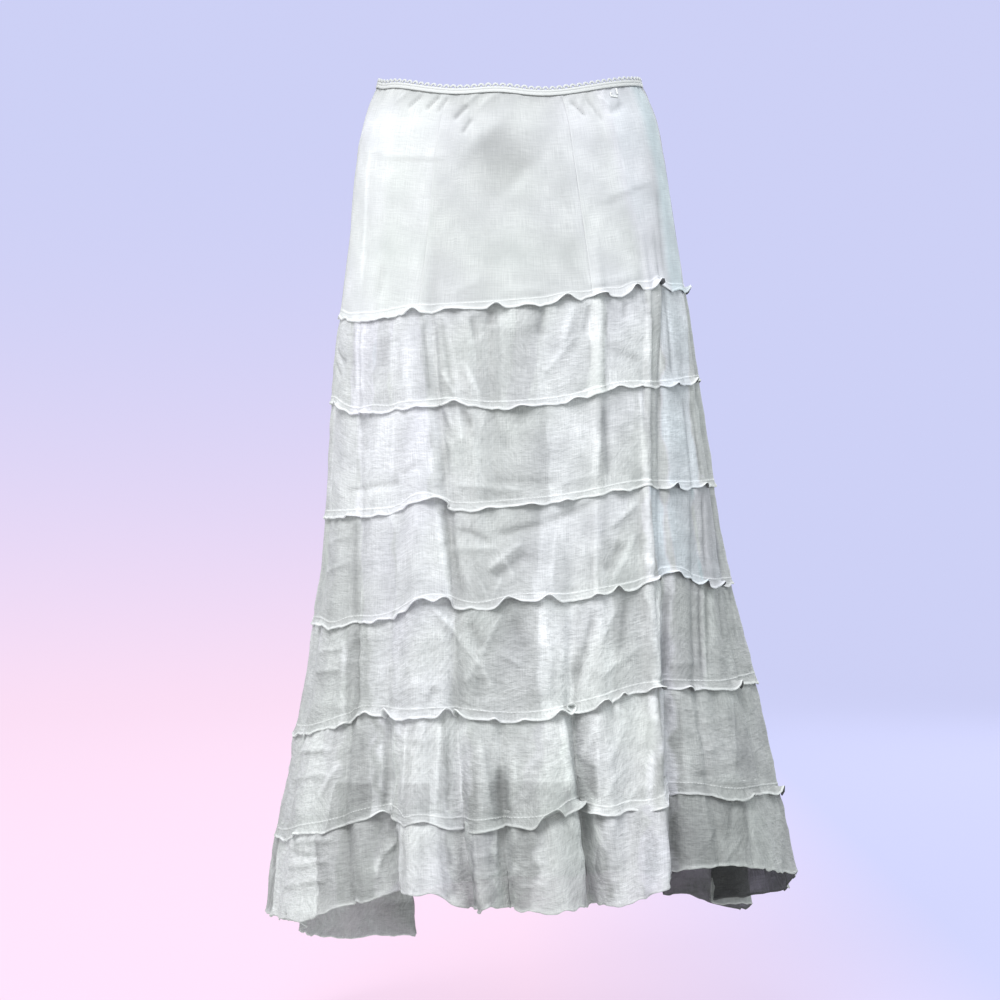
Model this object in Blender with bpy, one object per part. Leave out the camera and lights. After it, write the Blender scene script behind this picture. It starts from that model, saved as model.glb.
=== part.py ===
"""Tiered ruffle skirt: a picot-edged elastic waistband, a gored yoke, six gathered tiers and a lining.

The skirt is worn and hollow, open at the waist and the hem. The origin is the middle of the waist
ring, where the wearer holds it up. +Z is up, the front faces -Y, and +X is the wearer's left.

Every piece is laid on one draped surface, skirt_points(turn, level). turn is the angle round the
skirt, in degrees from the front, positive towards +X. level counts down the skirt: 0 is the top of
the yoke, 1 to 6 are the seams, each at the head of the tier of that number, and 7 is the hem.
"""

import math
from collections import namedtuple

import bmesh
import bpy
import numpy as np

MM = 0.001

# Cloth
WALL = 1.0 * MM  # thickness of every cloth wall
SEAM_GAP = 0.3 * MM  # clearance between pieces that are sewn together
LAP = WALL + SEAM_GAP  # how far a piece stands out from the one that it laps over
COLUMN_STEP = 4.5  # degrees, about what lies between two columns of points
FEWEST_SPANS, MOST_SPANS = 2, 5  # columns from the middle of one fold to the middle of the next

# Sections: how far each one reaches to the two sides, the front and the back, in mm.
Section = namedtuple("Section", "level right_side left_side front back")
SECTIONS = [
    Section(0.00, -148, 147, 97, 97),
    Section(0.06, -155, 154, 104, 105),
    Section(0.15, -162, 162, 111, 114),
    Section(0.35, -171, 171, 118, 126),
    Section(0.65, -178, 181, 124, 134),
    Section(1.00, -188, 192, 131, 138),
    Section(2.00, -198, 207, 143, 148),
    Section(3.00, -205, 224, 156, 160),
    Section(4.00, -217, 242, 172, 176),
    Section(5.00, -236, 269, 190, 194),
    Section(6.00, -257, 295, 210, 214),
    Section(7.00, -269, 317, 231, 234),
]

# Seams: the height of each level at the two sides, the front and the back, in mm.
Line = namedtuple("Line", "right_side front left_side back")
SEAMS = [
    Line(0, -27, 0, 3),
    Line(-250, -249, -222, -246),
    Line(-346, -357, -323, -350),
    Line(-474, -461, -439, -464),
    Line(-592, -559, -548, -578),
    Line(-711, -679, -652, -696),
    Line(-825, -789, -775, -815),
    Line(-919, -884, -872, -922),
]
HEM_LEVEL = len(SEAMS) - 1

# Lifts: where a seam rises or drops from that line, how far in mm, and over how many degrees.
Lift = namedtuple("Lift", "level turn rise spread")
LIFTS = [
    Lift(0, -70, -3, 10),
    Lift(0, -5, 6, 14),
    Lift(0, 45, 2, 20),
    Lift(1, -68, -5, 9),
    Lift(1, -52, -6, 12),
    Lift(1, 42, 7, 14),
    Lift(2, -58, -11, 12),
    Lift(2, -20, 5, 8),
    Lift(2, 33, 8, 13),
    Lift(3, -28, 14, 7),
    Lift(3, 35, 8, 16),
    Lift(4, -62, -7, 8),
    Lift(4, -42, -6, 9),
    Lift(4, -24, 9, 8),
    Lift(4, -12, -6, 7),
    Lift(4, 12, -5, 8),
    Lift(4, 44, 16, 10),
    Lift(5, -50, -5, 8),
    Lift(5, -44, 22, 14),
    Lift(5, -20, 11, 12),
    Lift(5, 5, -4, 20),
    Lift(5, 30, 13, 17),
    Lift(5, -128, -12, 26),
    Lift(6, -60, 5, 10),
    Lift(6, -33, 25, 19),
    Lift(6, -17, -6, 8),
    Lift(6, 9, 15, 5),
    Lift(6, 35, 20, 14),
    Lift(6, 62, 5, 15),
    Lift(6, -128, -28, 22),
    Lift(6, 122, -22, 18),
    Lift(7, -44, 9, 8),
    Lift(7, -26, 32, 15),
    Lift(7, 40, 30, 23),
    Lift(7, -122, -46, 20),
    Lift(7, -134, -12, 12),
    Lift(7, -141, -22, 10),
    Lift(7, 98, -20, 12),
    Lift(7, 125, -60, 20),
]

# Folds, in order round the skirt: the turn of a fold's middle at levels 1, 3, 5 and 7, how far it
# stands out there in mm (a valley is negative), and at the hem its half width and its lean, in mm.
FOLD_LEVELS = (1, 3, 5, 7)
FOLD_HEAD = 0.7  # level above which the cloth is smooth
Fold = namedtuple("Fold", "at_1 at_3 at_5 at_7 out_1 out_3 out_5 out_7 half_width lean")
FOLDS = [
    Fold(-78, -76, -72, -72, 0, -2, -2, -3, 14, 0),
    Fold(-68, -64, -61, -58, 0, 2, 2, 3, 18, 0),
    Fold(-60, -53, -49, -42, -1, -4, -8, -6, 11, 0),
    Fold(-50, -45, -42, -36, 1, 2, 3, 4, 14, 0),
    Fold(-41, -39, -36, -30, 0, -2, -7, -28, 10, 0),
    Fold(-35, -30, -26, -22, 2, 4, 8, 20, 20, -8),
    Fold(-27, -21, -17, -13, -4, -8, -10, -38, 10, 0),
    Fold(-14, -12, -11, -9.5, 1, 2, 1, 14, 8, 0),
    Fold(-8, -7, -6, -5.2, -1, -1, -2, -26, 8, 0),
    Fold(4, 4, 3, 3.5, 1, 2, 6, 20, 24, 8),
    Fold(18, 15, 12, 12.8, 0, -1, -10, -44, 10, 0),
    Fold(29, 23, 17.5, 17.5, 3, 3, 5, 10, 11, 0),
    Fold(50, 39, 31, 23.5, 2, 6, 9, 12, 7, 0),
    Fold(58, 45, 36.5, 31, -3, -6, -12, -24, 11, 0),
    Fold(70, 61, 45, 42, 0, -3, -4, -3, 8, 0),
    Fold(76, 68, 55, 52, 1, 3, 3, 3, 16, 0),
    Fold(84, 80, 68, 66, -1, -4, -4, -3, 12, 0),
    Fold(88, 86, 80, 78, 1, 3, 3, 3, 14, 0),
    Fold(97, 96, 96, 94, -1, -3, -5, -6, 12, 0),
    Fold(108, 108, 110, 112, -1, -6, -24, -76, 16, 0),
    Fold(124, 125, 126, 127, 1, 3, 8, 16, 20, 0),
    Fold(140, 140, 141, 142, -1, -5, -18, -46, 14, 0),
    Fold(156, 156, 156, 156, 1, 4, 8, 18, 20, 0),
    Fold(171, 171, 170, 170, -1, -4, -14, -38, 13, 0),
    Fold(-175, -174, -174, -174, 1, 3, 7, 16, 19, 0),
    Fold(-161, -161, -160, -159, 0, 2, 6, 12, 16, 0),
    Fold(-147, -146, -144, -143, -2, -6, -26, -84, 15, 0),
    Fold(-128, -127, -126, -125, 1, 4, 8, 16, 22, 0),
    Fold(-112, -111, -110, -110, -1, -3, -10, -22, 14, 0),
    Fold(-97, -96, -94, -92, 1, 2, 3, 4, 18, 0),
]
FLARES = [Fold(50, 39, 31, 23.5, 0, 0, 3, 34, 17, 0)]  # a fold above that opens out near the hem

# Ruffles: each seam's free edge, which hangs over the next piece. Its depth in mm, its waves round
# the skirt, how far they swing up and down and outwards in mm, and where the first one starts.
Ruffle = namedtuple("Ruffle", "depth waves rise swing phase")
RUFFLES = {
    1: Ruffle(6, 25, 2.5, 3.0, 20),
    2: Ruffle(6, 24, 2.0, 2.5, 130),
    3: Ruffle(6, 26, 2.0, 2.5, 250),
    4: Ruffle(7, 26, 2.5, 3.5, 75),
    5: Ruffle(9, 27, 3.0, 3.5, 310),
    6: Ruffle(12, 27, 3.0, 3.5, 180),
    HEM_LEVEL: Ruffle(0, 28, 3.0, 3.5, 40),
}
RUFFLE_CLEAR = 0.9 * MM  # how far a ruffle's edge always stands off the tier below
RUFFLE_COVER = 0.2  # level below a seam down to which a tier follows the ruffle above it closely

# Yoke gores: the turn where each one starts. It ends where the next one starts.
Gore = namedtuple("Gore", "name start")
GORES = [
    Gore("yoke_front_centre", -28),
    Gore("yoke_front_left", 22),
    Gore("yoke_back_left", 85),
    Gore("yoke_back_centre", 150),
    Gore("yoke_back_right", 210),
    Gore("yoke_front_right", 274),
]
YOKE_LEVELS = (0.0, 0.12, 0.35, 0.65, 1.0)

# Waistband: a narrow elastic, lapped over the top of the yoke, with picot loops on its upper edge
BAND_FOOT = 0.006  # level down the yoke that it laps over
BAND_TOP = 6.0 * MM
PICOT_RISE = 5.0 * MM
PICOTS = 100

# Lining: an underskirt sewn in at the waist, and how far inside the outer skirt it hangs, in mm
Inset = namedtuple("Inset", "level inset")
LINING = [
    Inset(0.00, 1.3),
    Inset(0.12, 2.5),
    Inset(0.35, 4.0),
    Inset(1.00, 7.0),
    Inset(3.00, 19.0),
    Inset(5.65, 58.0),
]
LINING_ROWS = (0.0, 0.35, 1.2, 3.2, 4.6, 5.65)
LINING_HEM = Line(-770, -752, -768, -762)
LINING_COLUMNS = 48

YOKE_WHITE = (0.93, 0.94, 0.95)
GAUZE_WHITE = (0.86, 0.88, 0.90)
LINING_WHITE = (0.80, 0.82, 0.84)


def smooth_between(x, keys, values):
    """A smooth curve through the values at the keys, read at each x."""
    keys = np.asarray(keys, float)
    values = np.asarray(values, float)
    slopes = np.gradient(values, keys)
    x = np.clip(x, keys[0], keys[-1])
    i = np.clip(np.searchsorted(keys, x, side="right") - 1, 0, len(keys) - 2)
    span = keys[i + 1] - keys[i]
    t = (x - keys[i]) / span
    return (
        (1 + 2 * t) * (1 - t) ** 2 * values[i]
        + t * (1 - t) ** 2 * span * slopes[i]
        + t**2 * (3 - 2 * t) * values[i + 1]
        - t**2 * (1 - t) * span * slopes[i + 1]
    )


def from_rows(rows, name, level):
    """One named column of a table, read smoothly at each level, in metres."""
    return smooth_between(level, [row.level for row in rows], [getattr(row, name) for row in rows]) * MM


def wrapped(degrees):
    return (degrees + 180) % 360 - 180


def bowed_line(turn, line):
    """The height of a line that tilts from side to side and bows at the front and the back, in mm."""
    angle = np.radians(turn)
    mean = (line.right_side + line.left_side) / 2
    tilt = (line.left_side - line.right_side) / 2
    bow = np.where(np.cos(angle) > 0, line.front, line.back) - mean
    return mean + tilt * np.sin(angle) + bow * np.cos(angle) ** 2


def seam_height(turn, number):
    """The height of one seam, or of the waist or the hem, with its lifts, in metres."""
    height = bowed_line(turn, SEAMS[number])
    for lift in LIFTS:
        if lift.level == number:
            height = height + lift.rise * np.exp(-((wrapped(turn - lift.turn) / lift.spread) ** 2))
    return height * MM


def height_at(turn, level):
    """The height at any level, in a straight line between the seams above and below."""
    heights = np.array([seam_height(turn, number) for number in range(len(SEAMS))])
    upper = np.clip(np.floor(level).astype(int), 0, HEM_LEVEL - 1)
    above = np.take_along_axis(heights, upper[None], 0)[0]
    below = np.take_along_axis(heights, upper[None] + 1, 0)[0]
    return above + (below - above) * (level - upper)


def fold_shift(turn, level, radius):
    """How far the folds move each point outwards, and along the section."""
    out = np.zeros_like(turn)
    along = np.zeros_like(turn)
    for fold in FOLDS + FLARES:
        middle = np.interp(level, FOLD_LEVELS, fold[:4])
        stands_out = smooth_between(level, (FOLD_HEAD, *FOLD_LEVELS), (0, *fold[4:8]))
        width = fold.half_width * MM * (0.45 + 0.55 * level / HEM_LEVEL)
        distance = np.radians(wrapped(turn - middle)) * radius
        weight = stands_out * MM * np.exp(-((distance / width) ** 2))
        out += weight
        along += weight * fold.lean / fold.out_7
    return out, along


def skirt_points(turn, level, folded=True):
    """Points of the draped surface at each turn and level."""
    turn, level = np.broadcast_arrays(np.asarray(turn, float), np.asarray(level, float))
    angle = np.radians(turn)
    right = from_rows(SECTIONS, "right_side", level)
    left = from_rows(SECTIONS, "left_side", level)
    front = from_rows(SECTIONS, "front", level)
    back = from_rows(SECTIONS, "back", level)
    wide = (left - right) / 2
    deep = np.where(np.cos(angle) > 0, front, back)
    x = (left + right) / 2 + wide * np.sin(angle)
    y = -deep * np.cos(angle)
    if folded:
        out, along = fold_shift(turn, level, wide)
        length = np.hypot(deep * np.sin(angle), wide * np.cos(angle))
        normal_x = deep * np.sin(angle) / length
        normal_y = -wide * np.cos(angle) / length
        x = x + out * normal_x - along * normal_y
        y = y + out * normal_y + along * normal_x
    return np.stack([x, y, height_at(turn, level)], axis=-1)


def outward_normals(turn, level, folded=True):
    """A unit normal of the draped surface at each turn and level."""
    turn_step, level_step = 0.5, 0.03
    across = skirt_points(turn + turn_step, level, folded) - skirt_points(turn - turn_step, level, folded)
    down = skirt_points(turn, level + level_step, folded) - skirt_points(turn, level - level_step, folded)
    normals = np.cross(across, -down)
    return normals / np.linalg.norm(normals, axis=-1, keepdims=True)


def column_places():
    """Each column of points: the fold that it follows, the next fold, and how far across it is."""
    places = []
    for fold, following in zip(FOLDS, FOLDS[1:] + FOLDS[:1]):
        gap = max((following.at_1 - fold.at_1) % 360, (following.at_7 - fold.at_7) % 360)
        spans = min(max(round(gap / COLUMN_STEP), FEWEST_SPANS), MOST_SPANS)
        places += [(fold[:4], following[:4], span / spans) for span in range(spans)]
    return places


def column_turns(levels):
    """The turn of each column at each level, so that the columns run down along the folds."""
    turns = np.empty_like(levels)
    for j, (fold, following, across) in enumerate(column_places()):
        here = np.interp(levels[:, j], FOLD_LEVELS, fold)
        gap = (np.interp(levels[:, j], FOLD_LEVELS, following) - here) % 360
        turns[:, j] = here + gap * across
    return turns


def column_levels(rows):
    """A grid with the given levels down it and the skirt's columns across it."""
    return np.repeat(np.array(rows, float)[:, None], len(column_places()), axis=1)


def add_strip(mesh, upper, lower, ring, facing_in=False):
    """Two triangles for each span between one row of points and the next."""
    count = len(upper) if ring else len(upper) - 1
    for j in range(count):
        k = (j + 1) % len(upper)
        for corners in ((upper[j], lower[j], lower[k]), (upper[j], lower[k], upper[k])):
            mesh.faces.new(corners[::-1] if facing_in else corners)


def make_shell(name, grid, normals, offset, ring, colour):
    """A closed wall: its outer face stands out from the grid by offset, its inner face is one wall inside."""
    outer = grid + normals * offset[..., None]
    inner = outer - normals * WALL
    mesh = bmesh.new()
    outside = [[mesh.verts.new(point) for point in row] for row in outer]
    inside = [[mesh.verts.new(point) for point in row] for row in inner]
    for row in range(len(grid) - 1):
        add_strip(mesh, outside[row], outside[row + 1], ring)
        add_strip(mesh, inside[row], inside[row + 1], ring, facing_in=True)
    add_strip(mesh, inside[0], outside[0], ring)
    add_strip(mesh, outside[-1], inside[-1], ring)
    if not ring:
        add_strip(mesh, [row[0] for row in outside], [row[0] for row in inside], ring)
        add_strip(mesh, [row[-1] for row in inside], [row[-1] for row in outside], ring)
    data = bpy.data.meshes.new(name)
    mesh.to_mesh(data)
    mesh.free()
    data.shade_smooth()
    data.materials.append(cloth_material(name, colour))
    bpy.context.scene.collection.objects.link(bpy.data.objects.new(name, data))


def cloth_material(name, colour):
    material = bpy.data.materials.new(name)
    material.use_nodes = True
    shader = material.node_tree.nodes["Principled BSDF"]
    shader.inputs["Base Color"].default_value = (*colour, 1)
    shader.inputs["Roughness"].default_value = 0.85
    shader.inputs["Metallic"].default_value = 0.0
    return material


def ruffle_wave(turn, number):
    """The small waves along one ruffled edge, from -1 to 1, uneven in length and height."""
    ruffle = RUFFLES[number]
    angle = np.radians(turn)
    drift = 0.7 * np.sin(3 * angle + number) + 0.5 * np.sin(5 * angle + 2 * number)
    wave = np.sin(ruffle.waves * angle + math.radians(ruffle.phase) + drift)
    return wave * (0.75 + 0.25 * np.sin(4 * angle + 3 * number))


def with_ruffle(levels, number, offset):
    """Adds to a panel's rows the free edge below its seam, which waves up and down and outwards."""
    turn = column_turns(levels)[-1]
    ruffle, wave = RUFFLES[number], ruffle_wave(turn, number)
    tier_drop = seam_height(turn, number) - seam_height(turn, number + 1)
    hang = (ruffle.depth + ruffle.rise * wave) * MM / tier_drop
    swing = LAP + RUFFLE_CLEAR + ruffle.swing * MM * (0.5 + 0.5 * np.roll(wave, 1))
    return np.vstack([levels, number + hang]), np.vstack([offset, swing])


def make_yoke():
    """Six gores with a gap at each seam, their lower edges left free as the first ruffle."""
    levels = column_levels(YOKE_LEVELS)
    levels, offset = with_ruffle(levels, 1, LAP * levels)
    turns = column_turns(levels)
    count = turns.shape[1]
    half_gap = math.degrees(SEAM_GAP / 2 / from_rows(SECTIONS, "left_side", 1.0))
    starts = [int(np.argmin(np.abs(wrapped(turns[0] - gore.start)))) for gore in GORES]
    for gore, first, last in zip(GORES, starts, starts[1:] + starts[:1]):
        columns = np.arange(first, first + (last - first) % count + 1) % count
        turn, level = turns[:, columns], levels[:, columns]
        turn[:, 0] += half_gap
        turn[:, -1] -= half_gap
        points, normals = skirt_points(turn, level), outward_normals(turn, level)
        make_shell(gore.name, points, normals, offset[:, columns], False, YOKE_WHITE)


def make_tier(number):
    """One gathered tier. Its head lies under the ruffle above, and its foot is the next ruffle or the hem."""
    rows = [0, RUFFLE_COVER, 1] if number < 5 else [0, RUFFLE_COVER, 0.6, 1]
    levels = column_levels(number + np.array(rows))
    offset = LAP * (levels - number)
    if number < HEM_LEVEL - 1:
        levels, offset = with_ruffle(levels, number + 1, offset)
    turns = column_turns(levels)
    points = skirt_points(turns, levels)
    if number == HEM_LEVEL - 1:
        ruffle, wave = RUFFLES[HEM_LEVEL], ruffle_wave(turns[-1], HEM_LEVEL)
        points[-1, :, 2] += ruffle.rise * MM * wave
        offset[-1] += ruffle.swing * MM * np.roll(wave, 1)
    make_shell(f"tier_{number}", points, outward_normals(turns, levels), offset, True, GAUZE_WHITE)


def make_lining():
    """A plain flared underskirt, with no folds, whose hem hangs nearly level."""
    turn = np.arange(0, 360, 360 / LINING_COLUMNS)
    turns, levels = np.meshgrid(turn, LINING_ROWS)
    points = skirt_points(turns, levels, folded=False)
    points[-1, :, 2] = bowed_line(turn, LINING_HEM) * MM
    normals = outward_normals(turns, levels, folded=False)
    make_shell("lining", points, normals, -from_rows(LINING, "inset", levels), True, LINING_WHITE)


def make_waistband():
    """A ring of elastic whose upper edge rises and falls once for each picot loop."""
    turn = np.arange(0, 360, 180 / PICOTS)
    top = skirt_points(turn, 0.0)
    top[:, 2] += BAND_TOP
    top[1::2, 2] += PICOT_RISE
    points = np.stack([top, skirt_points(turn, BAND_FOOT)])
    level_normals = outward_normals(turn, 0.0) * (1, 1, 0)
    level_normals /= np.linalg.norm(level_normals, axis=-1, keepdims=True)
    normals = np.stack([level_normals, level_normals])
    make_shell("waistband", points, normals, np.full(points.shape[:2], LAP), True, YOKE_WHITE)


def main():
    for old in list(bpy.data.objects):
        bpy.data.objects.remove(old)
    make_waistband()
    make_yoke()
    for number in range(1, HEM_LEVEL):
        make_tier(number)
    make_lining()


main()
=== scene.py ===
"""The looks of the tiered ruffle skirt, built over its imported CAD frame.

Every cloth piece is a thin closed shell on one draped surface, skirt_points(turn, level). turn is the
angle round the skirt, in degrees from the front, positive towards +X, the wearer's left. level counts
down the skirt: 0 is the top of the yoke, 1 to 6 are the seams, and 7 is the hem.
"""

import math
from collections import namedtuple

import bmesh
import bpy
import numpy as np
from mathutils import Matrix, Vector


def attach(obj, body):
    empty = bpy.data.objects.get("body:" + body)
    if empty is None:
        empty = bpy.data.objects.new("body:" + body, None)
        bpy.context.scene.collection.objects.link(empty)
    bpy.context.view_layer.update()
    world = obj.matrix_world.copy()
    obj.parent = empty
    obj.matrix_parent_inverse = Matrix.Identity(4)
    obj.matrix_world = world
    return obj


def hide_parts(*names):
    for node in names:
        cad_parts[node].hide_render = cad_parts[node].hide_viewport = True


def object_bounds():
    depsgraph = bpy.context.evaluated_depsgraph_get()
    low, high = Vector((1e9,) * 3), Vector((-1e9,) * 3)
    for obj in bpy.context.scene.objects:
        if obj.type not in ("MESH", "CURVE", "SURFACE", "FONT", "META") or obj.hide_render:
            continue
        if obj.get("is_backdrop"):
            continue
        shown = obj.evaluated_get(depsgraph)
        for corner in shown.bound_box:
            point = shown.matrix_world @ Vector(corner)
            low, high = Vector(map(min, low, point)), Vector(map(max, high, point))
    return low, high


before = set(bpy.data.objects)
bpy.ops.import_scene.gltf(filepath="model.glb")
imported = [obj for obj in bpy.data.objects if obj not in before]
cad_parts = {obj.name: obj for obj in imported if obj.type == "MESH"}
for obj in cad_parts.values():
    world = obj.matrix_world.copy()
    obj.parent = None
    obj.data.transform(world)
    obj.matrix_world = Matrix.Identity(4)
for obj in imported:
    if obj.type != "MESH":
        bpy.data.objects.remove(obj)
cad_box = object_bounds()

MM = 0.001


def table(kind, *rows):
    """A table whose columns have the names of its kind."""
    return [kind(*row) for row in rows]


def numbered(kind, *rows):
    """The same, with its rows numbered from 1."""
    return dict(enumerate(table(kind, *rows), 1))


# ---------------------------------------------------------------- the drape, as the CAD has it

# Sections: how far each one reaches to the two sides, the front and the back, in mm.
Section = namedtuple("Section", "level right_side left_side front back")
SECTIONS = table(
    Section,
    (0.00, -148, 147, 97, 97), (0.06, -155, 154, 104, 105), (0.15, -162, 162, 111, 114),
    (0.35, -171, 171, 118, 126), (0.65, -178, 181, 124, 134), (1.00, -188, 192, 131, 138),
    (2.00, -198, 207, 143, 148), (3.00, -205, 224, 156, 160), (4.00, -217, 242, 172, 176),
    (5.00, -236, 269, 190, 194), (6.00, -257, 295, 210, 214), (7.00, -269, 317, 231, 234),
)

# Seams: the height of each level at the two sides, the front and the back, in mm.
Line = namedtuple("Line", "right_side front left_side back")
SEAMS = table(
    Line,
    (0, -27, 0, 3), (-250, -249, -222, -246), (-346, -357, -323, -350), (-474, -461, -439, -464),
    (-592, -559, -548, -578), (-711, -679, -652, -696), (-825, -789, -775, -815), (-919, -884, -872, -922),
)
HEM_LEVEL = len(SEAMS) - 1

# Lifts: where a seam rises or drops from that line, how far in mm, and over how many degrees. Narrow
# ones come last.
Lift = namedtuple("Lift", "level turn rise spread")
LIFTS = table(
    Lift,
    (0, -70, -3, 10), (0, -5, 6, 14), (0, 45, 2, 20), (1, -68, -5, 9), (1, -52, -6, 12), (1, 42, 7, 14),
    (2, -58, -11, 12), (2, -20, 5, 8), (2, 33, 8, 13), (3, -28, 14, 7), (3, 35, 8, 16), (4, -62, -7, 8),
    (4, -42, -6, 9), (4, -24, 9, 8), (4, -12, -6, 7), (4, 12, -5, 8), (4, 44, 16, 10), (5, -50, -5, 8),
    (5, -44, 22, 14), (5, -20, 11, 12), (5, 5, -4, 20), (5, 30, 13, 17), (5, -128, -12, 26),
    (6, -60, 5, 10), (6, -33, 25, 19), (6, -17, -6, 8), (6, 9, 15, 5), (6, 35, 20, 14), (6, 62, 5, 15),
    (6, -128, -28, 22), (6, 122, -22, 18), (7, -44, 9, 8), (7, -26, 32, 15), (7, 40, 30, 23),
    (7, -122, -46, 20), (7, -134, -12, 12), (7, -141, -22, 10), (7, 98, -20, 12), (7, 125, -60, 20),
    (1, 18, 3, 5), (1, 37, -4, 4), (1, 57, 8, 4), (2, -42, -4, 5), (6, -26, -8, 2.5), (6, 26, -5, 3),
    (6, 29.5, 6, 2.5), (7, -13, -11, 4), (7, -8.8, 8, 1.2), (7, -19, 5, 1.5), (7, 12.5, -9, 3),
    (7, 18, -9, 4), (7, 22.5, -7, 3), (7, 24, 10, 3),
)

# Folds, in order round the skirt: the turn of a fold's middle at levels 1, 3, 5 and 7, how far it
# stands out there in mm (a valley is negative), and at the hem its half width and its lean, in mm.
FOLD_LEVELS = (1, 3, 5, 7)
FOLD_HEAD = 0.7  # level above which the cloth is smooth
FOLD_TAPER = 0.55  # how much narrower a fold is at the waist than at the hem
Fold = namedtuple("Fold", "at_1 at_3 at_5 at_7 out_1 out_3 out_5 out_7 half_width lean")
FOLDS = table(
    Fold,
    (-78, -76, -72, -72, 0, -2, -2, -3, 14, 0), (-68, -64, -61, -58, 0, 2, 2, 3, 18, 0),
    (-60, -53, -49, -42, -1, -4, -8, -6, 11, 0), (-50, -45, -42, -36, 1, 2, 3, 4, 14, 0),
    (-41, -39, -36, -30, 0, -2, -7, -28, 10, 0), (-35, -30, -26, -22, 2, 4, 8, 20, 20, -8),
    (-27, -21, -17, -13, -4, -8, -10, -38, 10, 0), (-14, -12, -11, -9.5, 1, 2, 1, 14, 8, 0),
    (-8, -7, -6, -5.2, -1, -1, -2, -26, 8, 0), (4, 4, 3, 3.5, 1, 2, 6, 20, 24, 8),
    (18, 15, 10.5, 12.8, 0, -1, -10, -44, 10, 0), (29, 23, 17.5, 17.5, 3, 3, 5, 10, 11, 0),
    (50, 39, 31, 23.5, 2, 6, 9, 12, 7, 0), (58, 45, 36.5, 31, -3, -6, -12, -24, 11, 0),
    (70, 61, 45, 42, 0, -3, -4, -3, 8, 0), (76, 68, 55, 52, 1, 3, 3, 3, 16, 0),
    (84, 80, 68, 66, -1, -4, -4, -3, 12, 0), (88, 86, 80, 78, 1, 3, 3, 3, 14, 0),
    (97, 96, 96, 94, -1, -3, -5, -6, 12, 0), (108, 108, 110, 112, -1, -6, -24, -76, 16, 0),
    (124, 125, 126, 127, 1, 3, 8, 16, 20, 0), (140, 140, 141, 142, -1, -5, -18, -46, 14, 0),
    (156, 156, 156, 156, 1, 4, 8, 18, 20, 0), (171, 171, 170, 170, -1, -4, -14, -38, 13, 0),
    (185, 186, 186, 186, 1, 3, 7, 16, 19, 0), (199, 199, 200, 201, 0, 2, 6, 12, 16, 0),
    (213, 214, 216, 217, -2, -6, -26, -84, 15, 0), (232, 233, 234, 235, 1, 4, 8, 16, 22, 0),
    (248, 249, 250, 250, -1, -3, -10, -22, 14, 0), (263, 264, 266, 268, 1, 2, 3, 4, 18, 0),
)
FLARES = table(Fold, (50, 39, 31, 23.5, 0, 0, 3, 34, 17, 0))  # a fold above that opens out near the hem


def smooth_between(x, keys, values):
    """A smooth curve through the values at the keys, read at each x."""
    keys = np.asarray(keys, float)
    values = np.asarray(values, float)
    slopes = np.gradient(values, keys)
    x = np.clip(x, keys[0], keys[-1])
    i = np.clip(np.searchsorted(keys, x, side="right") - 1, 0, len(keys) - 2)
    span = keys[i + 1] - keys[i]
    t = (x - keys[i]) / span
    return (
        (1 + 2 * t) * (1 - t) ** 2 * values[i]
        + t * (1 - t) ** 2 * span * slopes[i]
        + t**2 * (3 - 2 * t) * values[i + 1]
        - t**2 * (1 - t) * span * slopes[i + 1]
    )


def read(rows, name, level):
    """One named column of a table, read smoothly at each level, in metres."""
    return smooth_between(level, [row.level for row in rows], [getattr(row, name) for row in rows]) * MM


def wrapped(degrees):
    return (degrees + 180) % 360 - 180


def hump(x):
    return np.exp(-(x**2))


def ease(x):
    """Rises smoothly from 0 to 1 as x does."""
    x = np.clip(x, 0, 1)
    return x * x * (3 - 2 * x)


def unit(vectors):
    return vectors / np.linalg.norm(vectors, axis=-1, keepdims=True)


def square_to(axis, vectors):
    """The unit vectors nearest to the given ones that are square to a unit axis."""
    return unit(vectors - axis * np.sum(vectors * axis, -1, keepdims=True))


def paces(line):
    """How far it is from each point of a line to the next."""
    return np.linalg.norm(np.diff(line, axis=0), axis=1)


def running(steps):
    """The running sum of some steps, from 0."""
    return np.concatenate([[0], np.cumsum(steps)])


def bowed_line(turn, line):
    """The height of a line that tilts from side to side and bows at the front and the back, in mm."""
    angle = np.radians(turn)
    mean = (line.right_side + line.left_side) / 2
    tilt = (line.left_side - line.right_side) / 2
    bow = np.where(np.cos(angle) > 0, line.front, line.back) - mean
    return mean + tilt * np.sin(angle) + bow * np.cos(angle) ** 2


def seam_height(turn, number):
    """The height of one seam, or of the waist or the hem, with its lifts, in metres."""
    height = bowed_line(turn, SEAMS[number])
    for lift in LIFTS:
        if lift.level == number:
            height = height + lift.rise * hump(wrapped(turn - lift.turn) / lift.spread)
    return height * MM


def height_at(turn, level):
    """The height at any level, in a straight line between the seams above and below."""
    heights = np.array([seam_height(turn, number) for number in range(len(SEAMS))])
    upper = np.clip(np.floor(level).astype(int), 0, HEM_LEVEL - 1)
    above = np.take_along_axis(heights, upper[None], 0)[0]
    below = np.take_along_axis(heights, upper[None] + 1, 0)[0]
    return above + (below - above) * (level - upper)


def fold_shift(turn, level, radius):
    """How far the folds move each point outwards, and along the section."""
    out = np.zeros_like(turn)
    along = np.zeros_like(turn)
    for fold in FOLDS + FLARES:
        middle = np.interp(level, FOLD_LEVELS, fold[:4])
        stands_out = smooth_between(level, (FOLD_HEAD, *FOLD_LEVELS), (0, *fold[4:8]))
        width = fold.half_width * MM * (1 - FOLD_TAPER + FOLD_TAPER * level / HEM_LEVEL)
        weight = stands_out * MM * hump(np.radians(wrapped(turn - middle)) * radius / width)
        out += weight
        along += weight * fold.lean / fold.out_7
    return out, along


def half_breadth(level):
    """Half the distance between the two sides at each level."""
    return (read(SECTIONS, "left_side", level) - read(SECTIONS, "right_side", level)) / 2


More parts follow.
